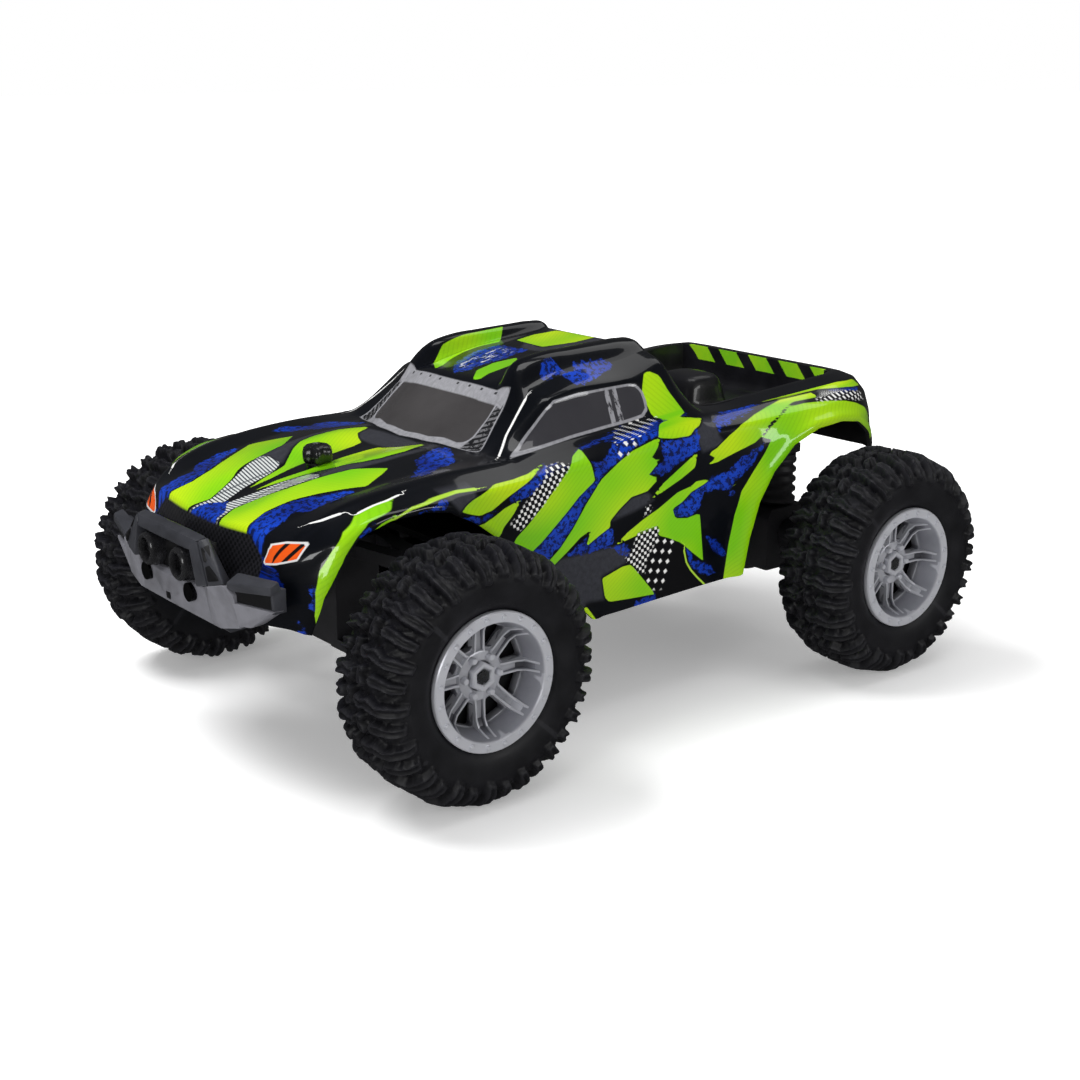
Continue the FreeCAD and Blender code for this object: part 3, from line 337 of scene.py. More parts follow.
# Control rows from the nose to the tail. Each row runs from the middle line out over the
# shoulder and down to the sill. The first value says that the surface may crease there.
ROWS = [
    (1, [60.3, 60.3, 60.2, 59.6, 59.3, 59.1, 60.0, 60.8, 61.5, 62.2],
     [0, 4, 8, 12.8, 17, 20.2, 21.2, 20.6, 19.4, 18],
     [37.0, 37.0, 37.3, 37.8, 37.3, 36.0, 33.5, 30.8, 28.0, 24.8]),
    (0, [56.0] * 10, [0, 3.6, 8, 13, 17.5, 22.3, 25.3, 26.2, 26.4, 26],
     [38.3, 38.4, 39.0, 39.2, 38.6, 38.4, 35.8, 32, 28, 23.6]),
    (0, [50.0] * 10, [0, 3.4, 8, 13.4, 17.8, 22.8, 27.8, 29.0, 29.0, 28.6],
     [40.0, 40.1, 41.0, 40.9, 40.5, 41.3, 39.2, 35, 29, 20]),
    (0, [41.0] * 10, [0, 3.0, 8.4, 14.0, 18.6, 23.4, 29.2, 30.0, 30.0, 29.2],
     [41.9, 41.9, 43.0, 42.6, 42.2, 43.0, 41.0, 37, 29, 18]),
    (0, [31.0] * 10, [0, 3.4, 8.8, 14.6, 19.2, 23.8, 29.1, 29.8, 29.6, 28.6],
     [43.3, 43.4, 44.3, 43.7, 43.2, 43.8, 41.2, 37, 29, 17]),
    (1, [24.3, 24.2, 23.3, 20.4, 20.6, 20.4, 21, 21, 21, 21],
     [0, 4, 9.4, 15.8, 19.5, 23.9, 28.4, 29.2, 29.2, 28.2],
     [44.2, 44.3, 44.4, 44.0, 44.2, 43.8, 41.4, 36, 29, 16.7]),
    (1, [13.1, 13.1, 12.9, 12.1, 9.6, 10.4, 11, 11, 11, 11],
     [0, 4.5, 9, 14.1, 20.2, 23.9, 28.0, 28.8, 29.0, 28.0],
     [53.1, 53.1, 52.9, 52.2, 51.8, 45.0, 42.0, 36, 29, 16.4]),
    (0, [4.0] * 10, [0, 4.5, 9, 14.4, 20.2, 24.2, 27.8, 28.6, 28.8, 28.0],
     [54.6, 54.7, 54.9, 55.0, 52.8, 45.7, 42.2, 36, 29, 16.4]),
    (0, [-8.0] * 10, [0, 4.5, 9, 14.6, 20.4, 24.4, 27.8, 28.6, 28.8, 28.0],
     [56.3, 56.3, 56.4, 56.2, 53.0, 46.8, 42.8, 36, 29, 16.9]),
    (1, [-14.2, -14.2, -14.4, -14.8, -15.0, -15.5, -15.6, -15.8, -16, -16.6],
     [0, 4.5, 9, 14.6, 19.6, 24.6, 27.9, 28.8, 29.0, 28.1],
     [57.2, 57.2, 57.2, 57.0, 55.2, 47.6, 43.2, 36, 29, 17.3]),
    (1, [-19.8, -19.8, -19.8, -20.0, -20.4, -20.8, -21, -21.2, -21.6, -22.4],
     [0, 4.5, 9, 15, 20.4, 24.6, 28.0, 29.0, 29.4, 28.4],
     [47.4, 47.4, 47.4, 47.3, 47.0, 46.0, 43.8, 37, 30, 17.6]),
    (0, [-25.0] * 10, [0, 4.5, 9, 15, 20.6, 24.7, 28.2, 29.6, 30.0, 29.4],
     [46.3, 46.3, 46.3, 46.3, 46.3, 45.8, 44.0, 38, 32, 18]),
    (0, [-36.0] * 10, [0, 4.5, 9, 15, 20.8, 24.6, 28.6, 30.4, 31.0, 30.6],
     [47.0, 47.0, 47.0, 47.0, 47.0, 46.4, 44.7, 41.6, 37, 22]),
    (0, [-47.0] * 10, [0, 4.5, 9, 15, 20.8, 24.6, 28.6, 30.6, 31.0, 30.6],
     [47.8, 47.8, 47.8, 47.8, 47.8, 47.1, 45.2, 42.8, 39, 30]),
    (0, [-56.0] * 10, [0, 4.5, 9, 15, 20.6, 24.3, 27.4, 29.0, 29.3, 29.0],
     [48.4, 48.4, 48.4, 48.4, 48.4, 47.7, 45.6, 42.5, 38.5, 33]),
    (1, [-59.6, -59.6, -59.6, -59.6, -59.6, -60.1, -60.8, -61.4, -62.1, -62.8],
     [0, 4.5, 9, 15, 19.6, 22.6, 24.8, 25.5, 25.5, 25.2],
     [48.6, 48.6, 48.6, 48.6, 48.5, 47.9, 45.4, 42, 38, 34.6]),
]
NOSE_END = (62.6, 0.0, 24.6)
TAIL_END = (-63.0, 0.0, 34.4)
FRONT_ARCH = [(57.2, 12.0), (57.2, 20.0), (56.9, 24.4), (55.6, 29.5), (53.6, 33.6), (51.9, 36.2),
              (49.6, 38.2), (45.5, 39.7), (39.7, 40.1), (35.3, 39.4), (30.8, 36.9), (23.7, 31.6),
              (15.0, 24.3), (6.5, 16.3), (3.5, 12.0)]
REAR_ARCH = [(-25.3, 12.0), (-25.7, 18.5), (-26.6, 24.5), (-28.4, 30.8), (-31.3, 35.6), (-36.0, 39.6),
             (-42.0, 41.8), (-48.0, 42.2), (-53.0, 41.4), (-58.0, 38.4), (-60.4, 35.9), (-62.8, 33.6),
             (-66, 30), (-66, 12)]
BED_OUTLINE = [(-20.6, -20.3), (-20.6, 20.3), (-57.6, 20.3), (-57.6, -20.3)]
BED_CORNER = 3.0
SHELL_STEP = 0.74
CAP_RINGS = 16
SMOOTH_PASSES = 5
SHELL_THICK = 0.65
SHELL_MIDDLE_Z = 36.0
# Columns of the control rows between which the cab's side lies, and where the windscreen ends.
CAB_SIDE = (3.6, 5.3)
SCREEN_END = 4.1


def spline_between(p0, p1, p2, p3, count):
    """Points on a Catmull-Rom span from p1 towards p2, tangents scaled to the chords."""
    d0, d1, d2 = (np.linalg.norm(b - a) + 1e-9 for a, b in ((p0, p1), (p1, p2), (p2, p3)))
    m1 = ((p2 - p1) / d1 * d0 + (p1 - p0) / d0 * d1) / (d0 + d1) * d1
    m2 = ((p3 - p2) / d2 * d1 + (p2 - p1) / d1 * d2) / (d1 + d2) * d1
    t = (np.arange(count) / count)[:, None]
    return ((2 * t ** 3 - 3 * t ** 2 + 1) * p1 + (t ** 3 - 2 * t ** 2 + t) * m1
            + (-2 * t ** 3 + 3 * t ** 2) * p2 + (t ** 3 - t ** 2) * m2)


def shell_grid():
    """Half of the shell as a regular grid of points, nose to tail by middle to sill.

    Also gives each grid column's place between the control columns."""
    control = np.array([list(zip(xs, ys, zs)) for _, xs, ys, zs in ROWS], float)
    crease = [row[0] for row in ROWS]
    rows, cols = control.shape[:2]
    blocks = []
    for i in range(rows - 1):
        span = np.linalg.norm(control[i + 1, :7] - control[i, :7], axis=1).max()
        count = max(2, math.ceil(span / SHELL_STEP))
        block = np.zeros((count, cols, 3))
        for j in range(cols):
            p1, p2 = control[i, j], control[i + 1, j]
            p0 = 2 * p1 - p2 if (i == 0 or crease[i]) else control[i - 1, j]
            p3 = 2 * p2 - p1 if (i == rows - 2 or crease[i + 1]) else control[i + 2, j]
            block[:, j] = spline_between(p0, p1, p2, p3, count)
        blocks.append(block)
    blocks.append(control[-1:])
    body = np.concatenate(blocks)
    shrink = (np.arange(CAP_RINGS) / CAP_RINGS)[:, None, None]
    nose = body[:1] * shrink + np.array(NOSE_END) * (1 - shrink)
    tail = body[-1:] * (1 - shrink - 1 / CAP_RINGS) + np.array(TAIL_END) * (shrink + 1 / CAP_RINGS)
    lines = np.concatenate([nose, body, tail])
    grid, place = [], []
    for j in range(cols - 1):
        span = np.linalg.norm(lines[:, j + 1] - lines[:, j], axis=1).max()
        count = max(2, math.ceil(span / SHELL_STEP))
        for k in range(count):
            t = k / count
            grid.append(lines[:, j] * (1 - t) + lines[:, j + 1] * t)
            place.append(j + t)
    grid.append(lines[:, -1])
    place.append(cols - 1)
    return np.stack(grid, axis=1), np.array(place)


def relax(grid):
    """Rounds the shell's creases a little, keeping the middle line and the sill."""
    grid = grid.copy()
    for _ in range(SMOOTH_PASSES):
        mirror = grid[:, 1:2] * np.array([1, -1, 1])
        wide = np.concatenate([mirror, grid], axis=1)
        mean = (wide[:-2, 1:-1] + wide[2:, 1:-1] + wide[1:-1, :-2] + wide[1:-1, 2:]) / 4
        new = grid.copy()
        new[1:-1, :-1] = (grid[1:-1, :-1] + mean) / 2
        new[:, 0, 1] = 0
        new[1:-1, -1] = (grid[1:-1, -1] * 2 + grid[:-2, -1] + grid[2:, -1]) / 4
        grid = new
    return grid


def inside_distance(points, polygon):
    """Signed distance of 2-D points to a polygon, positive inside."""
    poly = np.array(polygon, float)
    best = np.full(len(points), 1e9)
    crossings = np.zeros(len(points), bool)
    px, py = points[:, 0], points[:, 1]
    for (ax, ay), (bx, by) in zip(poly, np.roll(poly, -1, axis=0)):
        dx, dy = bx - ax, by - ay
        t = np.clip(((px - ax) * dx + (py - ay) * dy) / (dx * dx + dy * dy + 1e-12), 0, 1)
        best = np.minimum(best, np.hypot(px - ax - t * dx, py - ay - t * dy))
        hit = (ay > py) != (by > py)
        with np.errstate(divide="ignore", invalid="ignore"):
            crossings ^= hit & (px < ax + (py - ay) * dx / (dy if dy else 1e-12))
    return np.where(crossings, best, -best)


def line_distance(points, path):
    """Distance of 2-D points to an open path, with the sign of the side they lie on."""
    best = np.full(len(points), 1e9)
    signed = np.full(len(points), 1e9)
    px, py = points[:, 0], points[:, 1]
    for (ax, ay), (bx, by) in zip(path, path[1:]):
        dx, dy = bx - ax, by - ay
        t = np.clip(((px - ax) * dx + (py - ay) * dy) / (dx * dx + dy * dy + 1e-12), 0, 1)
        d = np.hypot(px - ax - t * dx, py - ay - t * dy)
        side = np.sign((px - ax) * dy - (py - ay) * dx)
        near = d < best
        best = np.where(near, d, best)
        signed = np.where(near, d * np.where(side == 0, 1, side), signed)
    return signed


def vertex_normals(grid):
    """Outward normals of a grid of points."""
    du = np.gradient(grid, axis=0)
    dv = np.gradient(grid, axis=1)
    n = np.cross(du, dv)
    length = np.linalg.norm(n, axis=2, keepdims=True)
    n = n / np.where(length < 1e-9, 1, length)
    outward = np.sign((n * (grid - np.array([0, 0, SHELL_MIDDLE_Z]))).sum())
    return n * outward


# ------------------------------------------------------------------ graphics on the shell

# Outlines on the top use (x, distance from the middle); those on the sides use (x, z).
LIME_TOP = [
    [(61, 12.8), (56, 11.6), (52, 12.4), (48, 14.4), (44, 16.6), (42.2, 17.8), (38, 15.6), (36, 14.3),
     (38, 12.4), (40, 10.6), (44, 9.4), (48, 8.4), (50, 7.6), (52, 6.0), (54, 5.0), (57, 3.8), (61, 5.4)],
    [(51.8, 0.9), (48, 2.2), (44, 3.4), (42, 5.4), (40, 7.4), (37.5, 9.2), (34.5, 10), (30, 10),
     (27.5, 9.2), (24.6, 8.3), (26.4, 7.4), (28.4, 6.4), (29.4, 4.6), (30.2, 2.4), (32, 1.9), (36, 1.6),
     (42, 1.7), (44, 1.5), (48, 0.8)],
    [(-9.0, 24.4), (-8.9, 21.8), (-10.6, 20.3), (-11.6, 20.2), (-13.4, 21.0), (-14.0, 22.6),
     (-15.6, 25.0), (-13, 25.6)],
]
LIME_SIDE = [
    [(33.6, 39.2), (31, 40.4), (26, 41.8), (22, 41.9), (19, 42.2), (14.8, 43.2), (20, 41.2), (24, 39.8),
     (27.5, 38.3), (30, 38.0), (32, 38.6)],
    [(30.6, 36.6), (27.5, 37.2), (25, 38.2), (21.4, 39.0), (23.4, 37.0), (25.4, 35.4), (27.2, 33.7),
     (29.4, 35.0)],
    [(24.2, 32.4), (20.8, 34.6), (16, 38.4), (13, 41), (10.4, 42.6), (9.4, 43.4), (7.2, 44.3),
     (7.0, 42.8), (6.4, 39.4), (10, 37.4), (14, 34.4), (18, 31.4), (20.2, 30.2), (22.6, 31.0)],
    [(16.4, 28.2), (14, 30.0), (11.4, 32.6), (8.6, 36), (5, 39.4), (1, 41.6), (-2, 42.8), (-6, 43.6),
     (-8.6, 44.1), (-7.2, 42.6), (-5.4, 40.9), (-7.8, 40.7), (-6, 39.4), (-4.8, 38.5), (-7.2, 37.8),
     (-4.4, 36.0), (-1, 35.6), (1.6, 34.0), (3.6, 32.4), (3.6, 31.4), (6, 30.4), (8.8, 29.1), (7.5, 31.8),
     (10, 30.8), (13, 28.8), (15.6, 27.1)],
    [(2.4, 28.2), (0, 29.8), (-3.4, 31.4), (-7, 32.8), (-11, 34.8), (-14, 35.4), (-15, 36), (-18.4, 36.2),
     (-17, 35.4), (-14, 34.4), (-12, 33), (-9.9, 32.2), (-10.4, 30.5), (-13, 30.1), (-15.8, 30.5),
     (-16.4, 27), (-17.4, 21.8), (-15, 23.6), (-12, 26), (-9, 27.4), (-6.8, 28.2), (-6.6, 29.5),
     (-2, 29.0), (0, 28.6)],
    [(-4.6, 34.3), (-8, 36.8), (-12, 38.9), (-15.8, 40.9), (-15, 38.4), (-12, 37.0), (-8, 35.5)],
    [(-8.2, 44.0), (-9.6, 45.8), (-11, 46.2), (-16, 46.2), (-17.4, 45.9), (-19.0, 45.7), (-17.4, 44.8),
     (-16, 44.4), (-14.6, 43.6), (-11, 43.6)],
    [(4.9, 23.0), (0.6, 24.2), (-1.2, 24.2), (-4, 21.2), (-7.0, 17.9), (-2, 18.2), (3.1, 18.6), (4.1, 19.6)],
    [(8.9, 18.9), (8.2, 18.9), (6.0, 16.2), (7.2, 16.2)],
    [(-22.3, 17.0), (-22.7, 24), (-23.4, 29), (-24.6, 33), (-27, 36), (-29.4, 38.7), (-31.4, 41.1),
     (-29.7, 41.4), (-32, 43.0), (-35, 44.5), (-38, 45.4), (-42, 45.6), (-47, 45.5), (-51, 45.1),
     (-53.8, 44.4), (-56.6, 43.2), (-58.6, 41.0), (-60.2, 38.0), (-62, 35.8), (-64, 34.6), (-64, 30),
     (-44, 30),
     (-27, 17)],
    [(-17.9, 38.4), (-20, 38.6), (-24, 39.8), (-28, 40.9), (-29.3, 41.6), (-32, 43.7), (-36, 45.1),
     (-40, 45.9), (-46, 46.1), (-46, 46.7), (-38, 46.3), (-34, 45.7), (-30, 45.0), (-26, 44.1),
     (-23, 42.7), (-20, 40.9), (-18.0, 40.2), (-19.4, 39.4)],
    [(-34, 46.3), (-38, 47.3), (-44, 47.5), (-52, 47.6), (-58, 47.5), (-58.9, 46.4), (-54, 46.8),
     (-48, 47.0), (-40, 46.6)],
    [(56.3, 24.2), (56.8, 27), (56.6, 30.4), (55.8, 33.4), (54, 36.2), (52, 38.6), (49.4, 40.4),
     (46.6, 41.3), (42.4, 42.1), (45, 41.0), (48.6, 39.9), (50.6, 38.1), (52.6, 35.4), (54.2, 32),
     (54.8, 29.4), (55.6, 27.6), (55.9, 25)],
    [(48.8, 38.2), (47, 39.5), (44.2, 40.6), (45.2, 39.3), (47, 38.0)],
    [(-22.4, 34.0), (-24.2, 34.9), (-23.4, 34.3)],
]
BLUE_TOP = [
    [(61, 17.0), (56, 16.9), (54, 16.0), (52, 18.0), (48, 18.5), (44.0, 18.3), (44.2, 17.4), (47, 15.8),
     (50, 13.9), (52.4, 12.7), (56, 11.8), (61, 12.9)],
    [(36.6, 20.8), (34, 21.6), (30, 19.2), (28, 19.4), (26.2, 18.4), (24.4, 15), (23.2, 12), (25, 11),
     (28, 12.6), (31, 14.2), (32.4, 17), (34.4, 18.6)],
    [(3.6, 19.7), (2, 19.9), (-1, 19.1), (-4, 18.1), (-7.2, 17.2), (-7.2, 16.3), (-5, 15.2), (-3, 15.6),
     (-1, 15.2), (0.2, 15.2), (1.4, 16.4), (3, 16.2), (3.8, 14.2), (4.8, 13.8), (6, 14.4), (7.8, 15),
     (7.2, 15.9), (6.4, 16.5), (4.4, 15.8), (3.8, 17)],
    [(62, 4.4), (57.4, 3.0), (55.6, -1), (58.6, -1), (62, 1.4)],
]
BLUE_SIDE = [
    [(20.4, 30.2), (16, 33.2), (12, 36.2), (8, 38.8), (6.4, 39.4), (6.6, 42.4), (5, 41.9), (3, 42.7),
     (1, 44.2), (-2, 45.2), (-6, 45.8), (-10, 46.6), (-14, 47.3), (-16.2, 46.7), (-12, 46.2), (-9.6, 45.8),
     (-8.4, 44.4), (-2, 43.0), (1, 41.8), (5, 39.6), (8.6, 36.2), (11.4, 32.8), (14, 30.2), (16.4, 28.4),
     (18.4, 28.4)],
    [(9.2, 43.5), (7.4, 44.4), (3.4, 45.0), (0, 45.6), (-3, 46.2), (1, 44.8), (5, 44.4), (7, 43.9)],
    [(-9.9, 32.1), (-13, 33.7), (-16, 35.1), (-17.8, 35.8), (-16.5, 33), (-15.2, 31), (-14, 30.3),
     (-10.5, 30.4)],
    [(-8.6, 43.5), (-14.6, 43.5), (-16.8, 44.8), (-16.2, 41.2), (-12, 39.7), (-8, 38.1), (-4.8, 38.5),
     (-6, 39.5), (-9, 40.6), (-8, 42.2)],
    [(13.4, 28.0), (9.6, 30.2), (7.4, 30.8), (3, 31.2), (2.6, 28.5), (7, 27.9)],
    [(3.8, 28.0), (2.4, 28.2), (0.2, 27.9), (-0.9, 26.5), (-1.2, 25.3), (1.4, 26.4)],
    [(-10.8, 26.0), (-14, 24.6), (-15.4, 22.4), (-17.6, 21.6), (-20.4, 19.4), (-19, 18.8), (-17, 19.6),
     (-15, 21.0), (-13, 23.4)],
    [(-17.4, 26.4), (-20, 25.2), (-22.2, 23), (-22.4, 21.6), (-20.4, 22.6), (-18.4, 24.4)],
    [(-16, 34.8), (-18, 36), (-22, 37), (-25, 38.9), (-29.9, 40.6), (-28, 38.6), (-27, 37.4), (-26, 36.6),
     (-23.0, 34.6), (-22, 32.0), (-23.6, 33.2), (-19.6, 34), (-17.6, 33.5)],
    [(-20.8, 43.3), (-21, 45.2), (-25, 45.8), (-28, 46.3), (-33, 47.3), (-36, 47.7), (-38, 47.4),
     (-34, 46.4), (-30, 45.5), (-26, 44.9), (-22.6, 44.3)],
    [(-49.6, 46.8), (-54, 47.0), (-57.8, 46.4), (-56, 45.9), (-50, 46.3)],
    [(26.4, 38.1), (28.4, 37.3), (31.6, 36.8), (33.8, 38.4), (30, 37.9)],
    [(22, 41.0), (15, 43.0), (11, 42.5), (14.4, 41.8), (19, 39.6), (22.8, 38.2), (24, 39.4)],
    [(50.6, 37.9), (49.4, 38.9), (47.6, 40.2), (48.8, 38.4)],
    [(41.0, 40.2), (38, 40.9), (34.6, 41.5), (36.6, 40.0)],
    [(57.2, 31.2), (57.2, 28), (56.4, 26.6), (56.0, 29.6), (56.3, 31)],
    [(58.3, 26.6), (58.4, 23.6), (57.6, 23.6)],
    [(60.2, 35.4), (61.0, 30.5), (62, 26.8), (60.4, 27.4), (59.6, 31)],
    [(-5, 17.9), (-6.6, 18.6), (-8.6, 17.7), (-8, 16.2), (-2, 16.2), (-3, 17.4)],
]
DOTS_SIDE = [
    [(24.4, 35.4), (22.2, 34.1), (18, 36.8), (13, 40.7), (10.8, 42.5), (12.4, 42.9), (15, 42.7),
     (18, 40.3), (20.6, 38.4), (23, 36.4)],
    [(-2.2, 29.4), (-6.9, 29.9), (-6.9, 28.4), (-5.8, 26.2), (-4.6, 24.2), (-4.4, 22), (-3, 22.4),
     (-1.2, 24.3), (0.4, 25.2), (-1.2, 26.6), (-1.8, 28.2)],
    [(-44.4, 45.6), (-48, 46.6), (-52, 46.6), (-57, 45.8), (-57.4, 44.4), (-54.5, 44.7),
     (-52, 45.3), (-48, 45.5)],
    [(-3.6, 31.8), (-4.2, 33.8), (-5.6, 33.4), (-4.8, 32.2)],
]
SPARSE_SIDE = [
    [(-5.2, 26.6), (-7.0, 28.0), (-9.2, 27.2), (-10.8, 26.4), (-9.8, 22.8), (-8.6, 18.4), (-6.0, 18.8),
     (-4.6, 21), (-4.6, 24)],
    [(2.0, 41.4), (0.4, 44.4), (-0.6, 46), (-10, 47.6), (-9.8, 46.6), (-6, 44.9), (-1, 42.4), (0.6, 41.6)],
]
BLACK_SIDE = [
    [(-6.9, 28.1), (-9, 27.3), (-12, 25.9), (-13.4, 24.5), (-14.4, 21.6), (-17.6, 18), (-22.2, 17.4),
     (-22.4, 16), (-7.6, 16), (-7.0, 18.2), (-4, 21.4), (-4.4, 24), (-5.6, 26.6)],
]
GREY_SIDE = [
    [(19, 28.1), (2.4, 28.0), (0, 27.2), (-1.0, 25.6), (0.4, 24.6), (5.0, 23.4), (4.2, 19.2), (8.4, 19.6),
     (9.6, 15), (30, 15), (26, 33)],
    [(3.6, 32.3), (1.6, 33.9), (-1, 35.5), (-4.4, 35.9), (-6, 34.4), (-2, 33.2)],
    [(-15.6, 44.2), (-16.8, 40.6), (-22, 41.4), (-20.6, 43.0), (-20.8, 45.4), (-19, 45.6)],
    [(30.4, 39.2), (33.8, 39.3), (36, 42.2), (30, 42.4)],
]
LADDER_TOP = [
    [(61, 4.7), (57, 3.5), (54, 4.8), (52, 5.7), (48, 7.9), (45.2, 8.9), (44.4, 8), (44, 4.6), (46, 3.1),
     (48, 2.5), (52, 1.9), (56.4, 0.4), (58, 3.0), (61, 4.2)],
]
STEEL_TOP = [
    [(45.0, 9.0), (44.2, 7.8), (44.1, 4.2), (40.5, 7.4), (37.5, 9.6), (34.5, 10.4), (28, 10.4),
     (24.2, 8.8), (24.0, 10.6), (29, 11.5), (35, 11.6), (39, 11)],
    [(-2, -1), (-2.6, 2.4), (-5, 4.4), (-10, 5.4), (-14, 8), (-14.4, 5), (-11, 4.2), (-8, 2.2), (-4.8, 1.8),
     (-4, -1)],
    [(29.6, -1), (29.4, 4.4), (28.4, 6.2), (25.4, 7.4), (24.9, 4), (24.9, -1)],
]
WINDSCREEN = [(13.9, -3.5), (13.9, 3.5), (13.5, 9.4), (12.4, 14.3), (16.4, 15.5), (21.1, 17.3), (22.3, 13.2),
              (23.8, 7.5), (24.4, 0), (23.8, -7.5), (22.3, -13.2), (21.1, -17.3), (16.4, -15.5),
              (12.4, -14.3),
              (13.5, -9.4)]
GLASS_TOP = [(15.75, -4), (15.75, 4), (15.4, 9.6), (14.55, 13.0), (16.5, 13.4), (19.6, 13.5), (20.7, 12.9),
             (21.4, 11.9), (22.9, 6), (23.3, 0), (22.9, -6), (21.4, -11.9), (20.7, -12.9), (19.6, -13.5),
             (16.5, -13.4), (14.55, -13.0), (15.4, -9.6)]
SIDE_WINDOW = [(19.6, 43.9), (17.1, 45.2), (13.5, 47.8), (10.6, 50.1), (8.7, 51.3), (4.2, 51.9), (-1.8, 52.1),
               (-7.2, 52.2), (-8.5, 51.8), (-9.1, 50.8), (-9.1, 49.3), (-8.7, 48.0), (-7.4, 47.1),
               (-4.2, 46.7),
               (0.7, 46.3), (6.7, 45.7), (12.5, 44.9)]
GRILLE_FRONT = [(2.0, 36.4), (13.6, 36.8), (17.5, 33.4), (17.0, 28.6), (14.0, 26.2), (-1, 26.2), (-1, 36.4)]
# Outlines on the roof use (x, y), because its two sides differ.
ROOF_LIME = [
    [(12.7, -6.2), (10.8, -9.6), (8.0, -10.6), (3.6, -11.0), (-5.4, -11.2), (-2.4, -8.4), (1.5, -9.0),
     (5.2, -8.8),
     (8.4, -7.9), (10.7, -6.6)],
    [(13.0, 4.9), (10.0, 1.9), (6.0, 1.1), (2.1, 2.4), (3.4, 4.4), (6.1, 5.4), (10.2, 5.4), (12.8, 6.3)],
    [(-5.1, -6.9), (-9.0, -7.2), (-12.9, -5.8), (-14.2, -2.0), (-14.4, 2.4), (-13.4, 4.4), (-9.6, 3.6),
     (-4.8, 0.8)],
]
ROOF_BLUE = [[(12.8, -0.9), (11.0, -3.4), (8.8, -5.6), (3.9, -7.4), (-1.3, -7.0), (-2.3, 0.0), (3.4, 0.8),
              (8.3, 0.0), (11.6, 0.4)]]
ROOF_SPLASH = [[(11.6, -1.4), (8.6, -4.6), (3.0, -6.0), (-1.0, -5.2), (-0.6, -1.2), (4.0, -0.4), (8.6, -0.9)]]
TAIL_LIME = [[(2.0, 37.0), (8.0, 37.0), (13.5, 46.4), (9.5, 47.6), (6.4, 47.6)],
             [(15.0, 47.2), (11.0, 39.0), (13.4, 37.4), (19.5, 43.5), (21.5, 47.0)]]
TAIL_BLUE = [[(8.6, 37.0), (10.4, 37.2), (14.4, 46.6), (13.8, 46.4)]]
LAMP_FRONT = [(18.5, 36.1), (21.0, 36.8), (23.7, 37.0), (23.4, 34.9), (20.6, 34.0), (17.6, 33.4)]
# White strokes painted on as highlights, one along the windscreen pillar and two on the front fender.
HIGHLIGHT_LINES_TOP = [
    [(20.2, 21.4), (17.1, 19.2), (14.1, 17.95), (11.6, 17.1)],
    [(54.4, 21.7), (53.4, 22.8), (50.6, 23.9)],
    [(48.6, 25.6), (44, 25.8), (41.8, 25.5)],
]
LIME_LINES_SIDE = [
    [(45, 39.9), (42, 41.0), (38, 41.5), (33, 41.8), (29.4, 41.7)],
    [(-12.8, 24.6), (-13.6, 22.2), (-14.8, 20.6), (-16.4, 19.0), (-18.2, 17.4)],
]


def layer(points, charts):
    """Largest signed distance over a list of (chart, outlines, allowed) entries."""
    best = np.full(len(points["side"]), -9.0)
    for chart, outlines, allowed in charts:
        for outline in outlines:
            d = inside_distance(points[chart], outline)
            best = np.maximum(best, np.where(allowed, d, -9.0))
    return best


def stroke_layer(points, entries):
    """Signed distance to the nearest stroke, and how near it is."""
    best = np.full(len(points["side"]), 9.0)
    for chart, paths, allowed in entries:
        for path in paths:
            d = line_distance(points[chart], path)
            d = np.where(allowed, d, 9.0)
            best = np.where(np.abs(d) < np.abs(best), d, best)
    return np.clip(best, -9, 9), np.clip(2.0 - np.abs(best), -1, 1)


def graphics(verts, place):
    """Every printed layer as a value per vertex."""
    x, y, z = verts[:, 0], np.abs(verts[:, 1]), verts[:, 2]
    points = {"top": np.stack([x, y], 1), "side": np.stack([x, z], 1), "front": np.stack([y, z], 1),
              "roof": verts[:, :2]}
    top = place <= 5.6
    cab_side = (place > CAB_SIDE[0]) & (place <= CAB_SIDE[1])
    side = place >= 4.9
    nose = (x > 58.5) & (place < 9)
    tail = (x < -59.4) & (z < 48.0)
    out = {"top_side": np.clip((5.5 - place) * 2, 0, 1)}
    roof = top & (z > 50)
    out["lime"] = layer(points, [("top", LIME_TOP, top), ("side", LIME_SIDE, side & ~tail),
                                 ("front", TAIL_LIME, tail), ("roof", ROOF_LIME, roof)])
    out["blue"] = layer(points, [("top", BLUE_TOP, top), ("side", BLUE_SIDE, side & ~tail),
                                 ("front", TAIL_BLUE, tail), ("roof", ROOF_BLUE, roof)])
    out["splash"] = layer(points, [("roof", ROOF_SPLASH, roof)])
    out["dots"] = layer(points, [("side", DOTS_SIDE, side)])
    out["sparse"] = layer(points, [("side", SPARSE_SIDE, side)])
    out["ink"] = layer(points, [("side", BLACK_SIDE, side)])
    out["steel"] = layer(points, [("top", STEEL_TOP, top), ("side", GREY_SIDE, side)])
    out["ladder"] = layer(points, [("top", LADDER_TOP, top)])
    out["screen"] = layer(points, [("top", [WINDSCREEN], top & (place < SCREEN_END))])
    out["glass"] = layer(points, [("top", [GLASS_TOP], top & (place < SCREEN_END))])
    out["window"] = layer(points, [("side", [SIDE_WINDOW], cab_side)])
    out["grille"] = layer(points, [("front", [GRILLE_FRONT], nose)])
    out["lamp"] = layer(points, [("front", [LAMP_FRONT], x > 54.5)])
    # strokes of painted highlight
    out["highlight_line"], out["highlight_near"] = stroke_layer(points, [("top", HIGHLIGHT_LINES_TOP, top)])
    out["lime_line"], out["lime_near"] = stroke_layer(points, [("side", LIME_LINES_SIDE, side)])
    return out


# ------------------------------------------------------------------ building the shell mesh

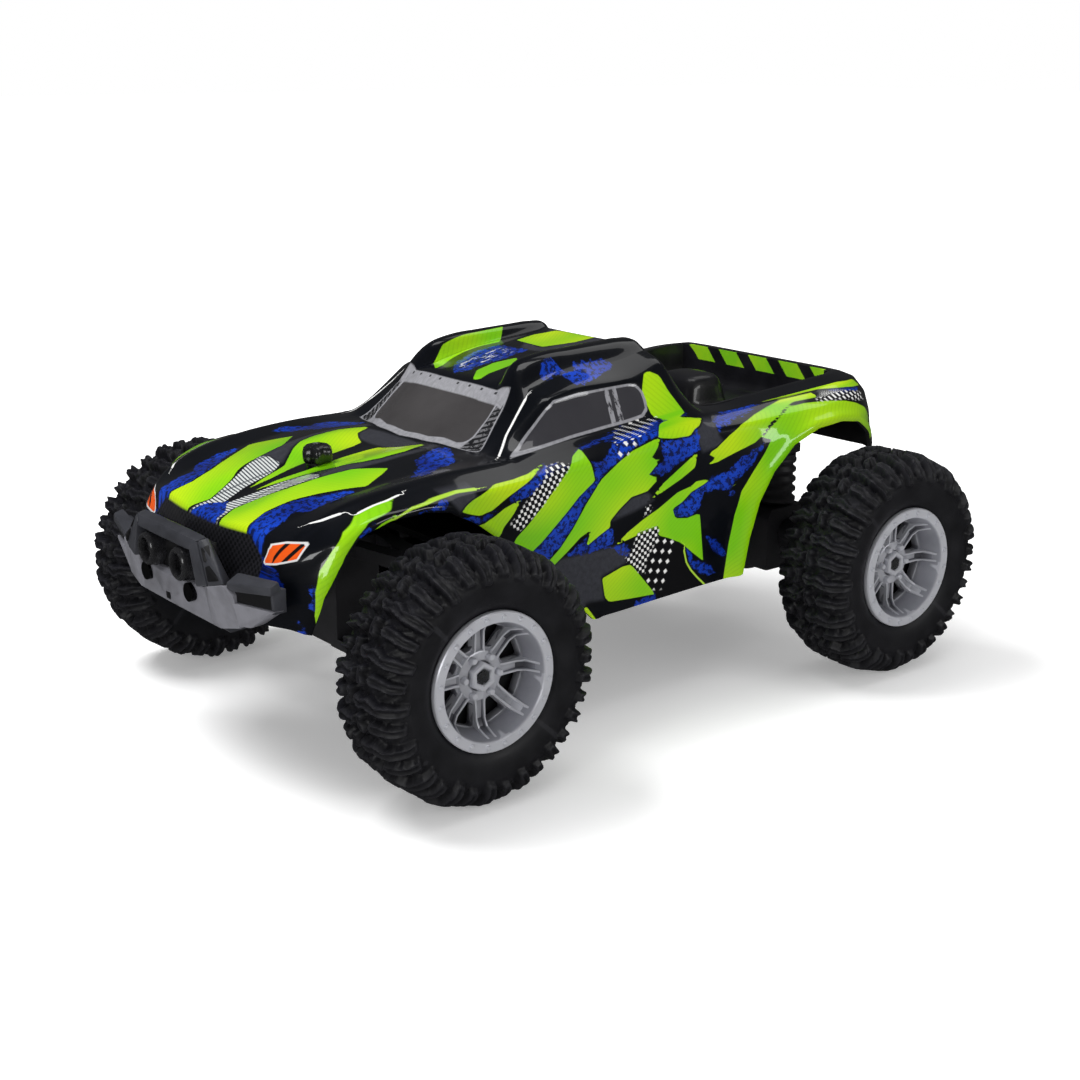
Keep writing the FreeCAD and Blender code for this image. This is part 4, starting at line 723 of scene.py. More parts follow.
def clip_triangles(verts, tris, value, extra):
    """Cuts away the part of a triangle mesh where value is below zero."""
    keep = value > 0
    new_verts, new_extra = [], []
    edge_index = {}
    out = []

    def crossing(a, b):
        key = (a, b) if a < b else (b, a)
        if key not in edge_index:
            i, j = key
            t = value[i] / (value[i] - value[j])
            t = min(max(t, 0.02), 0.98)
            edge_index[key] = len(verts) + len(new_verts)
            new_verts.append(verts[i] * (1 - t) + verts[j] * t)
            new_extra.append(extra[i] * (1 - t) + extra[j] * t)
        return edge_index[key]

    state = keep[tris].sum(1)
    out.append(tris[state == 3])
    cut = []
    for tri in tris[(state == 1) | (state == 2)]:
        inside = [k for k in range(3) if keep[tri[k]]]
        if len(inside) == 1:
            k = inside[0]
            a, b, c = tri[k], tri[(k + 1) % 3], tri[(k + 2) % 3]
            cut.append((a, crossing(a, b), crossing(a, c)))
        else:
            k = [m for m in range(3) if not keep[tri[m]]][0]
            a, b, c = tri[k], tri[(k + 1) % 3], tri[(k + 2) % 3]
            ab, ac = crossing(a, b), crossing(a, c)
            cut += [(ab, b, c), (ab, c, ac)]
    out.append(np.array(cut, int).reshape(-1, 3))
    tris = np.concatenate(out)
    if new_verts:
        verts = np.concatenate([verts, np.array(new_verts)])
        extra = np.concatenate([extra, np.array(new_extra)])
    used, inverse = np.unique(tris, return_inverse=True)
    return verts[used], inverse.reshape(-1, 3), extra[used]


def arch_lip(points, side):
    """How far the shell swells outwards beside the wheel arches."""
    swell = np.zeros(len(points))
    for arch in (FRONT_ARCH, REAR_ARCH):
        d = -inside_distance(points, arch)
        swell += np.where(side & (d > -1.5), 0.45 * np.exp(-((d - 0.6) / 0.9) ** 2), 0)
    return swell


def build_shell(material, inner_material):
    """The printed body: outer skin, inner skin and the walls round its openings."""
    grid, place = shell_grid()
    grid = relax(grid)
    rows, cols = grid.shape[:2]
    normal = vertex_normals(grid)
    flat = grid.reshape(-1, 3)
    norm = normal.reshape(-1, 3)
    column = np.tile(place, rows)
    side_points = flat[:, [0, 2]]
    on_cab = (column > CAB_SIDE[0]) & (column < CAB_SIDE[1])
    window = np.where(on_cab, inside_distance(side_points, SIDE_WINDOW), -9)
    screen = np.where(column < SCREEN_END, inside_distance(flat[:, [0, 1]], GLASS_TOP), -9)
    recess = 0.3 * (np.clip(window / 0.7 + 0.5, 0, 1) + np.clip(screen / 0.7 + 0.5, 0, 1))
    flat = flat + norm * (arch_lip(side_points, column > 5.2) - recess)[:, None]

    index = np.arange(rows * cols).reshape(rows, cols)
    a, b = index[:-1, :-1].ravel(), index[1:, :-1].ravel()
    c, d = index[1:, 1:].ravel(), index[:-1, 1:].ravel()
    tris = np.concatenate([np.stack([a, b, c], 1), np.stack([a, c, d], 1)])
    extra = np.column_stack([column, norm])

    side = extra[:, 0] > 4.8
    for arch in (FRONT_ARCH, REAR_ARCH):
        value = np.where(side, -inside_distance(flat[:, [0, 2]], arch), 9.0)
        value = np.where(np.abs(value) < 1e-4, 1e-4, value)
        flat, tris, extra = clip_triangles(flat, tris, value, extra)
        side = extra[:, 0] > 4.8
    outline = rounded(BED_OUTLINE, BED_CORNER, 6)
    on_top = (extra[:, 0] < 4.6) & (flat[:, 2] > 44.0) & (flat[:, 0] < -18)
    value = np.where(on_top, -inside_distance(flat[:, [0, 1]], outline), 9.0)
    flat, tris, extra = clip_triangles(flat, tris, value, extra)

    # mirror to the other side, welding the middle line
    middle = np.abs(flat[:, 1]) < 1e-6
    count = len(flat)
    mirror_index = np.where(middle, np.arange(count), 0)
    others = np.where(~middle)[0]
    mirror_index[others] = count + np.arange(len(others))
    flip = np.array([1.0, -1.0, 1.0])
    outer = np.concatenate([flat, flat[others] * flip])
    extra_norm = np.concatenate([extra[:, 1:], extra[others, 1:] * flip])
    column = np.concatenate([extra[:, 0], extra[others, 0]])
    tris = np.concatenate([tris, mirror_index[tris][:, ::-1]])
    extra_norm /= np.linalg.norm(extra_norm, axis=1, keepdims=True) + 1e-9

    # drop slivers, point the faces outwards
    fn = np.cross(outer[tris[:, 1]] - outer[tris[:, 0]], outer[tris[:, 2]] - outer[tris[:, 0]])
    tris = tris[np.linalg.norm(fn, axis=1) > 1e-7]
    fn = np.cross(outer[tris[:, 1]] - outer[tris[:, 0]], outer[tris[:, 2]] - outer[tris[:, 0]])
    if (fn * extra_norm[tris].mean(1)).sum() < 0:
        tris = tris[:, ::-1]
    inner = outer - extra_norm * SHELL_THICK
    edges = np.concatenate([tris[:, [0, 1]], tris[:, [1, 2]], tris[:, [2, 0]]])
    key = np.sort(edges, axis=1)
    _, first, counts = np.unique(key, axis=0, return_index=True, return_counts=True)
    rim = edges[first[counts == 1]]
    n = len(outer)
    wall = np.concatenate([np.stack([rim[:, 1], rim[:, 0], rim[:, 0] + n], 1),
                           np.stack([rim[:, 1], rim[:, 0] + n, rim[:, 1] + n], 1)])
    faces = np.concatenate([tris, tris[:, ::-1] + n, wall])
    verts = np.concatenate([outer, inner])

    mesh = bpy.data.meshes.new("shell")
    mesh.from_pydata((verts * MM).tolist(), [], faces.tolist())
    values = graphics(outer, column)
    for name, value in values.items():
        data = np.concatenate([value, value]).astype(np.float32)
        mesh.attributes.new(name, "FLOAT", "POINT").data.foreach_set("value", data)
    mesh.materials.append(material)
    mesh.materials.append(inner_material)
    slots = np.zeros(len(faces), np.int32)
    slots[len(tris):] = 1
    mesh.polygons.foreach_set("material_index", slots)
    mesh.update()
    obj = add_object("shell_skin", mesh)
    finish_mesh(mesh, 50.0)
    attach(obj, "chassis")
    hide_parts("body_shell")
    return obj


# ------------------------------------------------------------------ shell paint

WINDOW_BARS = (5.15, 3.55)


def shell_paint():
    """Gloss black with lime, blue, white dot and silver prints under a clear coat."""
    g = Graph("shell_paint")
    split = g.node("ShaderNodeSeparateXYZ", {"Vector": g.coord})
    x = g.times(split.outputs["X"], 1000.0)
    y = g.times(g.size(split.outputs["Y"]), 1000.0)
    z = g.times(split.outputs["Z"], 1000.0)
    topness = g.attribute("top_side")
    v = g.node("ShaderNodeMix", {0: topness, 2: z, 3: y}, data_type="FLOAT").outputs[0]

    def edge(name, soft=0.08, at=0.0):
        return g.ramp(g.attribute(name), at - soft, at + soft)

    def axis(a, b, angle):
        c, s = math.cos(math.radians(angle)), math.sin(math.radians(angle))
        return g.plus(g.times(a, c), g.times(b, s))

    plane = g.node("ShaderNodeCombineXYZ", {"X": x, "Y": v, "Z": 0.0}).outputs[0]
    cloud = g.noise(0.09, 3.0, 0.5, vector=plane)
    grit = g.noise(1.15, 4.0, 0.75, vector=plane)
    splat = g.noise(0.55, 5.0, 0.7, vector=plane, distortion=0.6)

    # base black with a faint cloud, dark satin panels
    color = g.mix(g.ramp(cloud, 0.3, 0.7), srgb(4, 6, 11), srgb(12, 14, 20))
    panel = g.mix(g.ramp(grit, 0.3, 0.7), srgb(44, 45, 51), srgb(58, 59, 66))
    color = g.mix(edge("steel", 0.35), color, panel)

    # blue grunge
    torn = g.times(g.minus(splat, 0.5), 2.2)
    blue_body = g.ramp(g.plus(g.attribute("blue"), torn), -0.05, 0.12)
    holes = g.ramp(grit, 0.46, 0.5)
    blue = g.mix(g.ramp(cloud, 0.35, 0.65), srgb(6, 38, 134), srgb(14, 66, 190))
    blue_mask = g.times(blue_body, g.math("MULTIPLY_ADD", holes, 0.85, 0.15))
    color = g.mix(blue_mask, color, blue)

    # torn white brush marks in the middle of the roof
    drawn = g.node("ShaderNodeMapping", {"Vector": plane, "Scale": (0.45, 1.5, 1.0)}).outputs[0]
    streak = g.noise(0.8, 4.0, 0.7, vector=drawn)
    brush = g.times(g.ramp(streak, 0.55, 0.58), g.ramp(g.attribute("splash"), 0.0, 0.3))
    color = g.mix(brush, color, srgb(206, 210, 222))

    # black ink behind the sparse dots
    color = g.mix(edge("ink"), color, srgb(10, 10, 13))

    # lime with a fine slanted hatch and a darker, greener end
    hatch = g.fold(axis(x, v, 52), 0.62)
    fade = g.ramp(g.noise(0.055, 1.0, 0.4, vector=plane), 0.38, 0.62)
    lime = g.mix(fade, srgb(118, 196, 12), srgb(182, 216, 14))
    lime = g.mix(g.ramp(hatch, 0.28, 0.42, 0.0, 0.16), lime, srgb(92, 150, 10))
    color = g.mix(g.ramp(g.attribute("lime"), -0.32, -0.2, 0.0, 0.65), color, srgb(9, 12, 10))
    color = g.mix(edge("lime", 0.05), color, lime)

    # slatted stripe on the bonnet
    slat = g.ramp(g.fold(axis(x, v, 4), 0.56), 0.19, 0.27)
    slat_row = g.ramp(g.fold(axis(x, v, 94), 5.0), 0.44, 0.47, 1.0, 0.3)
    slat_color = g.mix(g.times(slat, slat_row), srgb(70, 74, 80), srgb(206, 210, 208))
    color = g.mix(edge("ladder"), color, slat_color)

    # white lattices
    def lattice(angle, pitch, size):
        a = g.fold(axis(x, v, angle), pitch)
        b = g.fold(axis(x, v, angle + 90), pitch)
        return g.ramp(g.plus(a, b), size - 0.05, size + 0.05, 1.0, 0.0)

    white = srgb(232, 232, 230)
    dots = g.times(lattice(38, 0.86, 0.4), edge("dots", 0.2))
    color = g.mix(g.times(edge("dots", 0.1), 0.8), color, srgb(14, 14, 18))
    color = g.mix(dots, color, white)
    sparse = g.times(lattice(12, 1.7, 0.27), edge("sparse", 0.2))
    color = g.mix(sparse, color, white)

    # windscreen and side windows
    silver = g.mix(g.ramp(grit, 0.3, 0.7), srgb(124, 124, 129), srgb(152, 152, 157))
    tint = g.mix(g.ramp(cloud, 0.3, 0.7), srgb(54, 52, 53), srgb(68, 66, 67))
    screen = edge("screen", 0.1)
    flank = g.times(g.ramp(y, 13.3, 13.5), g.ramp(x, 14.6, 14.8))
    flank = g.times(flank, g.fall(g.attribute("glass"), -0.42, -0.32))
    flank = g.times(flank, g.ramp(g.attribute("screen"), 0.2, 0.28))
    weave = g.ramp(g.fold(axis(x, v, 40), 0.7), 0.2, 0.26)
    woven = g.times(weave, g.ramp(grit, 0.45, 0.5))
    flank_color = g.mix(woven, srgb(24, 24, 27), srgb(104, 104, 107))
    color = g.mix(screen, color, g.mix(flank, silver, flank_color))
    color = g.mix(edge("glass", 0.08), color, tint)
    studs_x = g.fall(g.size(g.minus(g.attribute("screen"), 0.45)), 0.14, 0.24)
    studs_x = g.times(studs_x, g.fall(x, 15.0, 15.2))
    studs_y = g.fall(g.fold(g.plus(y, 2.05), 3.05), 0.06, 0.1)
    color = g.mix(g.times(screen, g.times(studs_x, studs_y)), color, srgb(40, 40, 42))
    window = g.attribute("window")
    color = g.mix(g.ramp(window, -0.04, 0.04), color, silver)
    color = g.mix(g.ramp(window, 0.34, 0.44), color, g.mix(0.5, tint, srgb(42, 43, 52)))
    bars = g.math("MAXIMUM", *[g.fall(g.size(g.minus(axis(x, z, 8), at)), 0.42, 0.5)
                               for at in WINDOW_BARS])
    bars = g.times(bars, g.ramp(grit, 0.42, 0.5))
    color = g.mix(g.times(bars, g.ramp(window, 0.3, 0.4)), color, silver)

    # nose grille mesh and lamp print
    crossed = g.plus(g.fold(g.plus(y, z), 1.1), g.fold(g.minus(y, z), 1.1))
    mesh_hole = g.ramp(crossed, 0.42, 0.5)
    color = g.mix(edge("grille", 0.2), color, g.mix(mesh_hole, srgb(14, 14, 16), srgb(38, 38, 42)))
    lamp_bar = g.ramp(g.fold(axis(y, z, -30), 1.7), 0.3, 0.36)
    lamp_bar = g.times(lamp_bar, g.ramp(y, 19.6, 19.8))
    lamp = g.mix(lamp_bar, srgb(222, 84, 18), srgb(14, 14, 17))
    lamp_frame = g.times(g.ramp(g.attribute("lamp"), -0.3, -0.2), g.ramp(axis(y, z, -38), -8.6, -8.3))
    color = g.mix(lamp_frame, color, srgb(206, 206, 206))
    color = g.mix(g.ramp(g.attribute("lamp"), -0.02, 0.06), color, lamp)

    # thin strokes: the white ones are painted highlights, the lime ones are print
    def stroke(name, near, width):
        d = g.size(g.attribute(name))
        return g.times(g.ramp(d, width - 0.05, width + 0.05, 1.0, 0.0), g.ramp(g.attribute(near), 0.0, 0.2))

    # white strokes: painted highlights
    color = g.mix(stroke("highlight_line", "highlight_near", 0.2), color, white)
    color = g.mix(stroke("lime_line", "lime_near", 0.16), color, srgb(170, 210, 60))

    g.set(color=color, coat=1.0, coat_rough=0.05, specular=0.15)
    satin = g.math("MAXIMUM", edge("steel", 0.3), g.math("MAXIMUM", screen, g.ramp(window, 0.3, 0.4)))
    rough = g.plus(g.ramp(satin, 0.0, 1.0, 0.26, 0.42), g.times(grit, 0.06))
    g.set(rough=rough)
    ripple = g.noise(35.0, 2.0, 0.4)
    g.bump(g.plus(ripple, g.times(g.noise(1800.0, 1.0), 0.015)), 0.12, 0.25)
    return g.mat


# ------------------------------------------------------------------ wheels

WHEELS = {
    "front_left": ((40.1, 39.7, 19.0), 1, "front_wheel_left"),
    "front_right": ((40.1, -39.7, 19.0), -1, "front_wheel_right"),
    "rear_left": ((-48.7, 39.7, 19.0), 1, "rear_wheels"),
    "rear_right": ((-48.7, -39.7, 19.0), -1, "rear_wheels"),
}
TYRE_SECTION = [(18.0, 0.0), (18.0, 3.4), (17.5, 5.4), (16.4, 6.9), (14.9, 7.4), (13.0, 7.25), (11.6, 6.9),
                (10.7, 6.3), (10.3, 5.9)]
INNER_WIDTH = 0.93
TREAD_PITCHES = 17
PITCH_STEPS = 28
TREAD_STEP = 0.23
TREAD_EDGE = 9.4
TREAD_HEIGHT = 1.5
# Lugs of half the tread: distance round the tyre and distance across it from the middle.
LUGS = [
    [(0.3, 0.2), (1.7, 0.0), (2.7, 1.2), (2.4, 2.8), (2.9, 4.4), (3.1, 6.2), (2.9, 8.9), (0.9, 9.2),
     (0.8, 6.4), (1.0, 4.8), (0.2, 3.3), (0.7, 1.7)],
    [(3.7, 3.2), (4.7, 2.5), (5.8, 3.1), (5.9, 4.7), (6.3, 6.5), (6.0, 8.3), (4.1, 8.5), (4.2, 6.4),
     (3.8, 4.9)],
    [(3.2, 0.3), (4.4, 0.1), (5.9, 0.5), (6.4, 1.7), (5.5, 2.4), (4.4, 1.6), (3.6, 2.2), (3.0, 1.4)],
]
RIM_STEPS = 96
SPOKES = 8
# Closed sections turned about the wheel's axis: radius and distance outwards.
# Dark disc behind the windows: painted shade for the dark inside of the wheel.
RIM_SHADE_DISC = [(3.0, 0.3), (9.25, 0.3), (9.25, 0.6), (3.0, 0.6)]
RIM_RING = [(9.3, -6.4), (10.3, -6.4), (10.3, 6.1), (10.46, 6.3), (10.46, 6.95), (10.3, 7.15), (8.95, 7.15),
            (8.78, 6.95), (8.7, 6.4), (8.35, 4.7), (8.0, 3.5), (7.8, 2.95), (7.8, 1.3), (9.3, 0.6)]
RIM_HUB = [(1.08, 1.2), (3.9, 1.2), (3.9, 2.9), (3.7, 3.3), (3.45, 3.45), (2.35, 3.45), (2.2, 3.3),
           (2.2, 2.4), (1.08, 2.4)]
HUB_HEX = [(1.3, 3.2), (2.3, 3.2), (2.3, 4.1), (2.1, 4.35), (1.5, 4.35), (1.3, 4.15)]
HUB_STUB = [(0.0, 3.0), (0.62, 3.0), (0.62, 3.95), (0.48, 4.1), (0.0, 4.15)]
HUB_STUD = [(0.0, 3.3), (0.56, 3.3), (0.56, 4.0), (0.4, 4.3), (0.0, 4.4)]
BEAD_STUD = [(0.0, 7.1), (0.4, 7.1), (0.38, 7.36), (0.24, 7.52), (0.0, 7.58)]
# Studs: section, sides, how many and their distance from the axis.
RIM_STUDS = [(HUB_STUD, 12, 6, 3.05), (BEAD_STUD, 10, 20, 9.6)]
WINDOW_DISC = 8.6
RIM_WINDOW = [(-0.75, 4.2), (0.75, 4.2), (2.0, 7.6), (-2.0, 7.6)]
# Stations of a spoke: radius, distance outwards and half width.
SPOKE_PATH = [(2.9, 3.3, 1.05), (4.2, 3.3, 0.9), (6.6, 3.4, 0.85), (7.7, 3.95, 0.85), (8.25, 5.2, 0.82),
              (8.62, 6.2, 0.8)]


def smooth_step(t):
    """Eased step from zero to one."""
    t = np.clip(t, 0, 1)
    return t * t * (3 - 2 * t)


def section_at(distances):
    """Points and outward normals of the tyre section at distances along it."""
    points = np.array(TYRE_SECTION)
    gaps = np.linalg.norm(np.diff(points, axis=0), axis=1)
    along = np.concatenate([[0], np.cumsum(gaps)])
    fine = np.linspace(0, along[-1], 200)
    curve = np.stack([np.interp(fine, along, points[:, k]) for k in (0, 1)], 1)
    for _ in range(60):
        curve[1:-1] = (curve[:-2] + curve[2:] + 2 * curve[1:-1]) / 4
    slope = np.gradient(curve, axis=0)
    normal = np.stack([slope[:, 1], -slope[:, 0]], 1)
    normal /= np.linalg.norm(normal, axis=1, keepdims=True)
    where = np.clip(distances, 0, along[-1])
    both = [np.stack([np.interp(where, fine, a[:, k]) for k in (0, 1)], 1) for a in (curve, normal)]
    return both + [along[-1]]


def lug_height(round_mm, across_mm):
    """Height of the tread above the carcass: raised edges and a lower middle on every lug."""
    points = np.stack([round_mm, across_mm], 1)
    height = np.zeros(len(points))
    for lug, share in zip(LUGS, (1.0, 0.86, 0.92)):
        d = inside_distance(points, lug)
        lump = smooth_step(d / 0.42) - 0.26 * smooth_step((d - 0.55) / 0.4)
        height = np.maximum(height, np.where(d > 0, lump * share, 0))
    ridge = 0.14 * smooth_step(1 - np.abs((round_mm * 1.7 + across_mm) % 2.2 - 1.1) / 0.45)
    height = np.maximum(height, ridge * (across_mm < 8.4))
    return TREAD_HEIGHT * height * np.interp(across_mm, [0, 5.0, 7.4, 9.2], [1.0, 1.0, 0.8, 0.4])


def tyre_mesh(material):
    """Tyre centred on its axle, with its outer side towards +Y."""
    pitch = 2 * math.pi * TYRE_SECTION[0][0] / TREAD_PITCHES
    total = section_at(np.zeros(1))[2]
    across = np.concatenate([np.arange(0, TREAD_EDGE, TREAD_STEP), np.linspace(TREAD_EDGE, total, 12)])
    round_mm = np.arange(PITCH_STEPS) / PITCH_STEPS * pitch
    halves = []
    for side, shift in ((1, 0.0), (-1, pitch / 2)):
        base, normal, _ = section_at(across)
        uu, vv = np.meshgrid((round_mm + shift) % pitch, across, indexing="ij")
        height = lug_height(uu.ravel(), vv.ravel()).reshape(uu.shape)
        pair = base[None] + normal[None] * height[:, :, None]
        halves.append(pair * np.array([1, 1 if side > 0 else -INNER_WIDTH]))
    strip = np.concatenate([halves[1][:, :0:-1], halves[0]], axis=1)
    bore = np.array([(10.0, 5.6), (10.0, -5.6)])
    strip = np.concatenate([strip, np.repeat(bore[None], PITCH_STEPS, 0)], axis=1)
    rows = strip.shape[1]
    rng = np.random.default_rng(7)
    verts = []
    for k in range(TREAD_PITCHES):
        scale = 1 + rng.uniform(-0.004, 0.004)
        for step in range(PITCH_STEPS):
            angle = 2 * math.pi * (k + step / PITCH_STEPS) / TREAD_PITCHES
            r = np.where(strip[step, :, 0] > 18.2, strip[step, :, 0] * scale, strip[step, :, 0])
            verts.append(np.stack([r * math.sin(angle), strip[step, :, 1], r * math.cos(angle)], 1))
    verts = np.concatenate(verts)
    count = TREAD_PITCHES * PITCH_STEPS
    faces = []
    for s in range(count):
        t = (s + 1) % count
        for i in range(rows):
            j = (i + 1) % rows
            faces.append((s * rows + i, s * rows + j, t * rows + j, t * rows + i))
    mesh = bpy.data.meshes.new("tyre")
    mesh.from_pydata((verts * MM).tolist(), [], faces)
    mesh.materials.append(material)
    mesh.update()
    return mesh


def wheel_place(r, angle, y):
    """Maps (r, a, y) to a point about the wheel's axis."""
    return (r * math.sin(angle), y, r * math.cos(angle))


def flat_plate(loops, y0, y1, bevel):
    """Verts and faces of a plate with holes in the wheel plane, first loop outside."""
    curve = bpy.data.curves.new("plate", "CURVE")
    curve.dimensions = "2D"
    curve.fill_mode = "BOTH"
    curve.extrude = (y1 - y0) / 2 - bevel
    curve.bevel_depth = bevel
    curve.bevel_resolution = 1
    curve.offset = -bevel
    for loop in loops:
        spline = curve.splines.new("POLY")
        spline.points.add(len(loop) - 1)
        for point, (x, z) in zip(spline.points, loop):
            point.co = (x, z, 0, 1)
        spline.use_cyclic_u = True
    holder = add_object("plate", curve)
    mesh = bpy.data.meshes.new_from_object(holder.evaluated_get(bpy.context.evaluated_depsgraph_get()))
    verts = [(v.co.x, (y0 + y1) / 2 + v.co.z, v.co.y) for v in mesh.vertices]
    faces = [tuple(p.vertices) for p in mesh.polygons]
    bpy.data.objects.remove(holder)
    return verts, faces


def turned_loop(loop, angle):
    """A loop turned in the wheel plane."""
    c, s = math.cos(angle), math.sin(angle)
    return [(x * c + z * s, z * c - x * s) for x, z in loop]


def spoke_loops(angle):
    """Sections of one spoke, with a groove along its face."""
    loops = []
    for r, top, half in SPOKE_PATH:
        back = 2.0 if r < 7.5 else top - 1.3
        section = [(-half - 0.2, back), (-half, top), (-half + 0.3, top), (-half + 0.44, top - 0.5),
                   (half - 0.44, top - 0.5), (half - 0.3, top), (half, top), (half + 0.2, back)]
        sine, cosine = math.sin(angle), math.cos(angle)
        loops.append([(r * sine + w * cosine, y, r * cosine - w * sine) for w, y in section])
    return loops


def rim_mesh(material, dark):
    """Deep rim: bead ring with small bolts, eight windows over a dark disc of painted shade, ribbed spokes
    and a hub with studs.
    """
    solid = Solid()
    # dark disc of painted shade behind the windows
    solid.lathe(RIM_SHADE_DISC, RIM_STEPS, wheel_place)
    shade_disc_faces = len(solid.faces)
    solid.lathe(RIM_RING, RIM_STEPS, wheel_place)
    turns = [2 * math.pi * k / RIM_STEPS for k in range(RIM_STEPS)]
    circle = [(WINDOW_DISC * math.sin(turn), WINDOW_DISC * math.cos(turn)) for turn in turns]
    window = rounded(RIM_WINDOW, 0.7, 4)
    windows = [turned_loop(window, 2 * math.pi * (k + 0.5) / SPOKES) for k in range(SPOKES)]
    solid.add(*flat_plate([circle] + windows, 1.3, 2.9, 0.15))
    for k in range(SPOKES):
        solid.rings(spoke_loops(2 * math.pi * k / SPOKES))
    solid.lathe(RIM_HUB, 48, wheel_place)
    solid.lathe(HUB_HEX, 6, wheel_place)
    solid.lathe(HUB_STUB, 20, wheel_place)
    for section, sides, count, reach in RIM_STUDS:
        for k in range(count):
            solid.lathe(section, sides, stud_place(2 * math.pi * (k + 0.5) / count, reach))
    mesh = bpy.data.meshes.new("rim")
    mesh.from_pydata([tuple(c * MM for c in v) for v in solid.verts], [], solid.faces)
    mesh.materials.append(material)
    mesh.materials.append(dark)
    for face in mesh.polygons[:shade_disc_faces]:
        face.material_index = 1
    mesh.validate()
    return mesh


def stud_place(angle, reach):
    """Maps (r, a, h) to a small stud standing on the wheel face."""
    def place(r, a, h):
        return (reach * math.sin(angle) + r * math.sin(a), h, reach * math.cos(angle) + r * math.cos(a))
    return place


def build_wheels(rubber_material, rim_material, dark):
    """Tyre and rim of all four wheels, each from one shared mesh."""
    tyre, rim = tyre_mesh(rubber_material), rim_mesh(rim_material, dark)
    tidy_mesh(tyre, 60.0)
    tidy_mesh(rim, 32.0)
    for name, (centre, side, body) in WHEELS.items():
        for kind, mesh, slot in (("tyre", tyre, "tyre_rubber"), ("rim", rim, "rim_silver")):
            obj = add_object("%s_%s_skin" % (kind, name), mesh)
            obj.location = [c * MM for c in centre]
            obj.rotation_euler = (0, 0, 0 if side > 0 else math.pi)
            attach(obj, body)
            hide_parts("%s_%s" % (kind, name))


# ------------------------------------------------------------------ bumper and trim

def hull_piece(name, hulls, material, body, bevel, mirrored=True):
    """One piece from convex lumps with rounded edges; lumps off the middle are mirrored."""
    whole = bpy.data.meshes.new(name)
    joined = bmesh.new()
    for points in hulls:
        sides = (1, -1) if mirrored and min(p[1] for p in points) >= 0 else (1,)
        for side in sides:
            bm = bmesh.new()
            for x, y, z in points:
                bm.verts.new((x * MM, side * y * MM, z * MM))
            bmesh.ops.convex_hull(bm, input=bm.verts)
            loose = [v for v in bm.verts if not v.link_faces]
            bmesh.ops.delete(bm, geom=loose, context="VERTS")
            bmesh.ops.dissolve_limit(bm, angle_limit=math.radians(4), verts=bm.verts, edges=bm.edges)
            bmesh.ops.bevel(bm, geom=list(bm.edges), offset=bevel * MM, segments=2, profile=0.6,
                            affect="EDGES", clamp_overlap=True)
            bmesh.ops.recalc_face_normals(bm, faces=bm.faces)
            part = bpy.data.meshes.new("part")
            bm.to_mesh(part)
            bm.free()
            joined.from_mesh(part)
            bpy.data.meshes.remove(part)
    joined.to_mesh(whole)
    joined.free()
    tidy_mesh(whole, 28.0)
    whole.materials.append(material)
    obj = add_object(name, whole)
    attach(obj, body)
    return obj


BUMPER_HULLS = [
    # hoop bar
    [(64.8, 9.9, 36.5), (64.8, -9.9, 36.5), (66.5, 9.7, 36.1), (66.5, -9.7, 36.1), (67.2, 8.7, 34.6),
     (67.2, -8.7, 34.6), (65.2, 9.2, 34.3), (65.2, -9.2, 34.3), (65.6, 0, 36.9), (67.1, 0, 36.6),
     (67.6, 0, 34.9), (65.8, 0, 34.5)],
    # sloping upright: front web, outer web in two steps and rear edge
    [(67.2, 8.4, 35.2), (66.6, 9.8, 36.1), (66.9, 13.0, 30.2), (67.2, 10.2, 29.4), (65.4, 8.4, 34.9),
     (65.2, 9.8, 35.9), (65.2, 13.0, 30.0), (65.2, 10.2, 29.2)],
    [(66.4, 9.9, 36.2), (64.8, 10.2, 36.5), (65.9, 16.3, 31.0), (66.8, 13.2, 30.2), (65.0, 9.0, 34.6),
     (63.6, 9.4, 34.6), (63.8, 15.4, 29.8), (65.0, 12.2, 29.4)],
    # wing: top bar and recessed web
    [(65.7, 16.6, 31.3), (63.6, 16.6, 32.5), (63.4, 25.5, 32.3), (61.9, 25.2, 32.9), (63.5, 25.6, 31.0),
     (65.5, 16.6, 30.0), (61.4, 25.2, 31.2), (62.6, 16.6, 30.4)],
    [(64.9, 16.6, 31.0), (62.9, 25.3, 31.6), (62.7, 25.2, 28.0), (64.8, 16.6, 27.0), (61.6, 16.6, 31.0),
     (60.6, 25.0, 31.6), (60.6, 25.0, 28.0), (61.6, 16.6, 27.0)],
    # chin under the plate
    [(65.8, 0, 24.8), (64.6, 12.6, 23.6), (62.9, 12.0, 21.8), (63.2, 0, 21.7), (59.6, 12.0, 22.0),
     (59.6, 0, 22.0), (60.2, 12.0, 24.4), (60.2, 0, 24.8), (64.6, -12.6, 23.6), (62.9, -12.0, 21.8),
     (59.6, -12.0, 22.0), (60.2, -12.0, 24.4)],
]
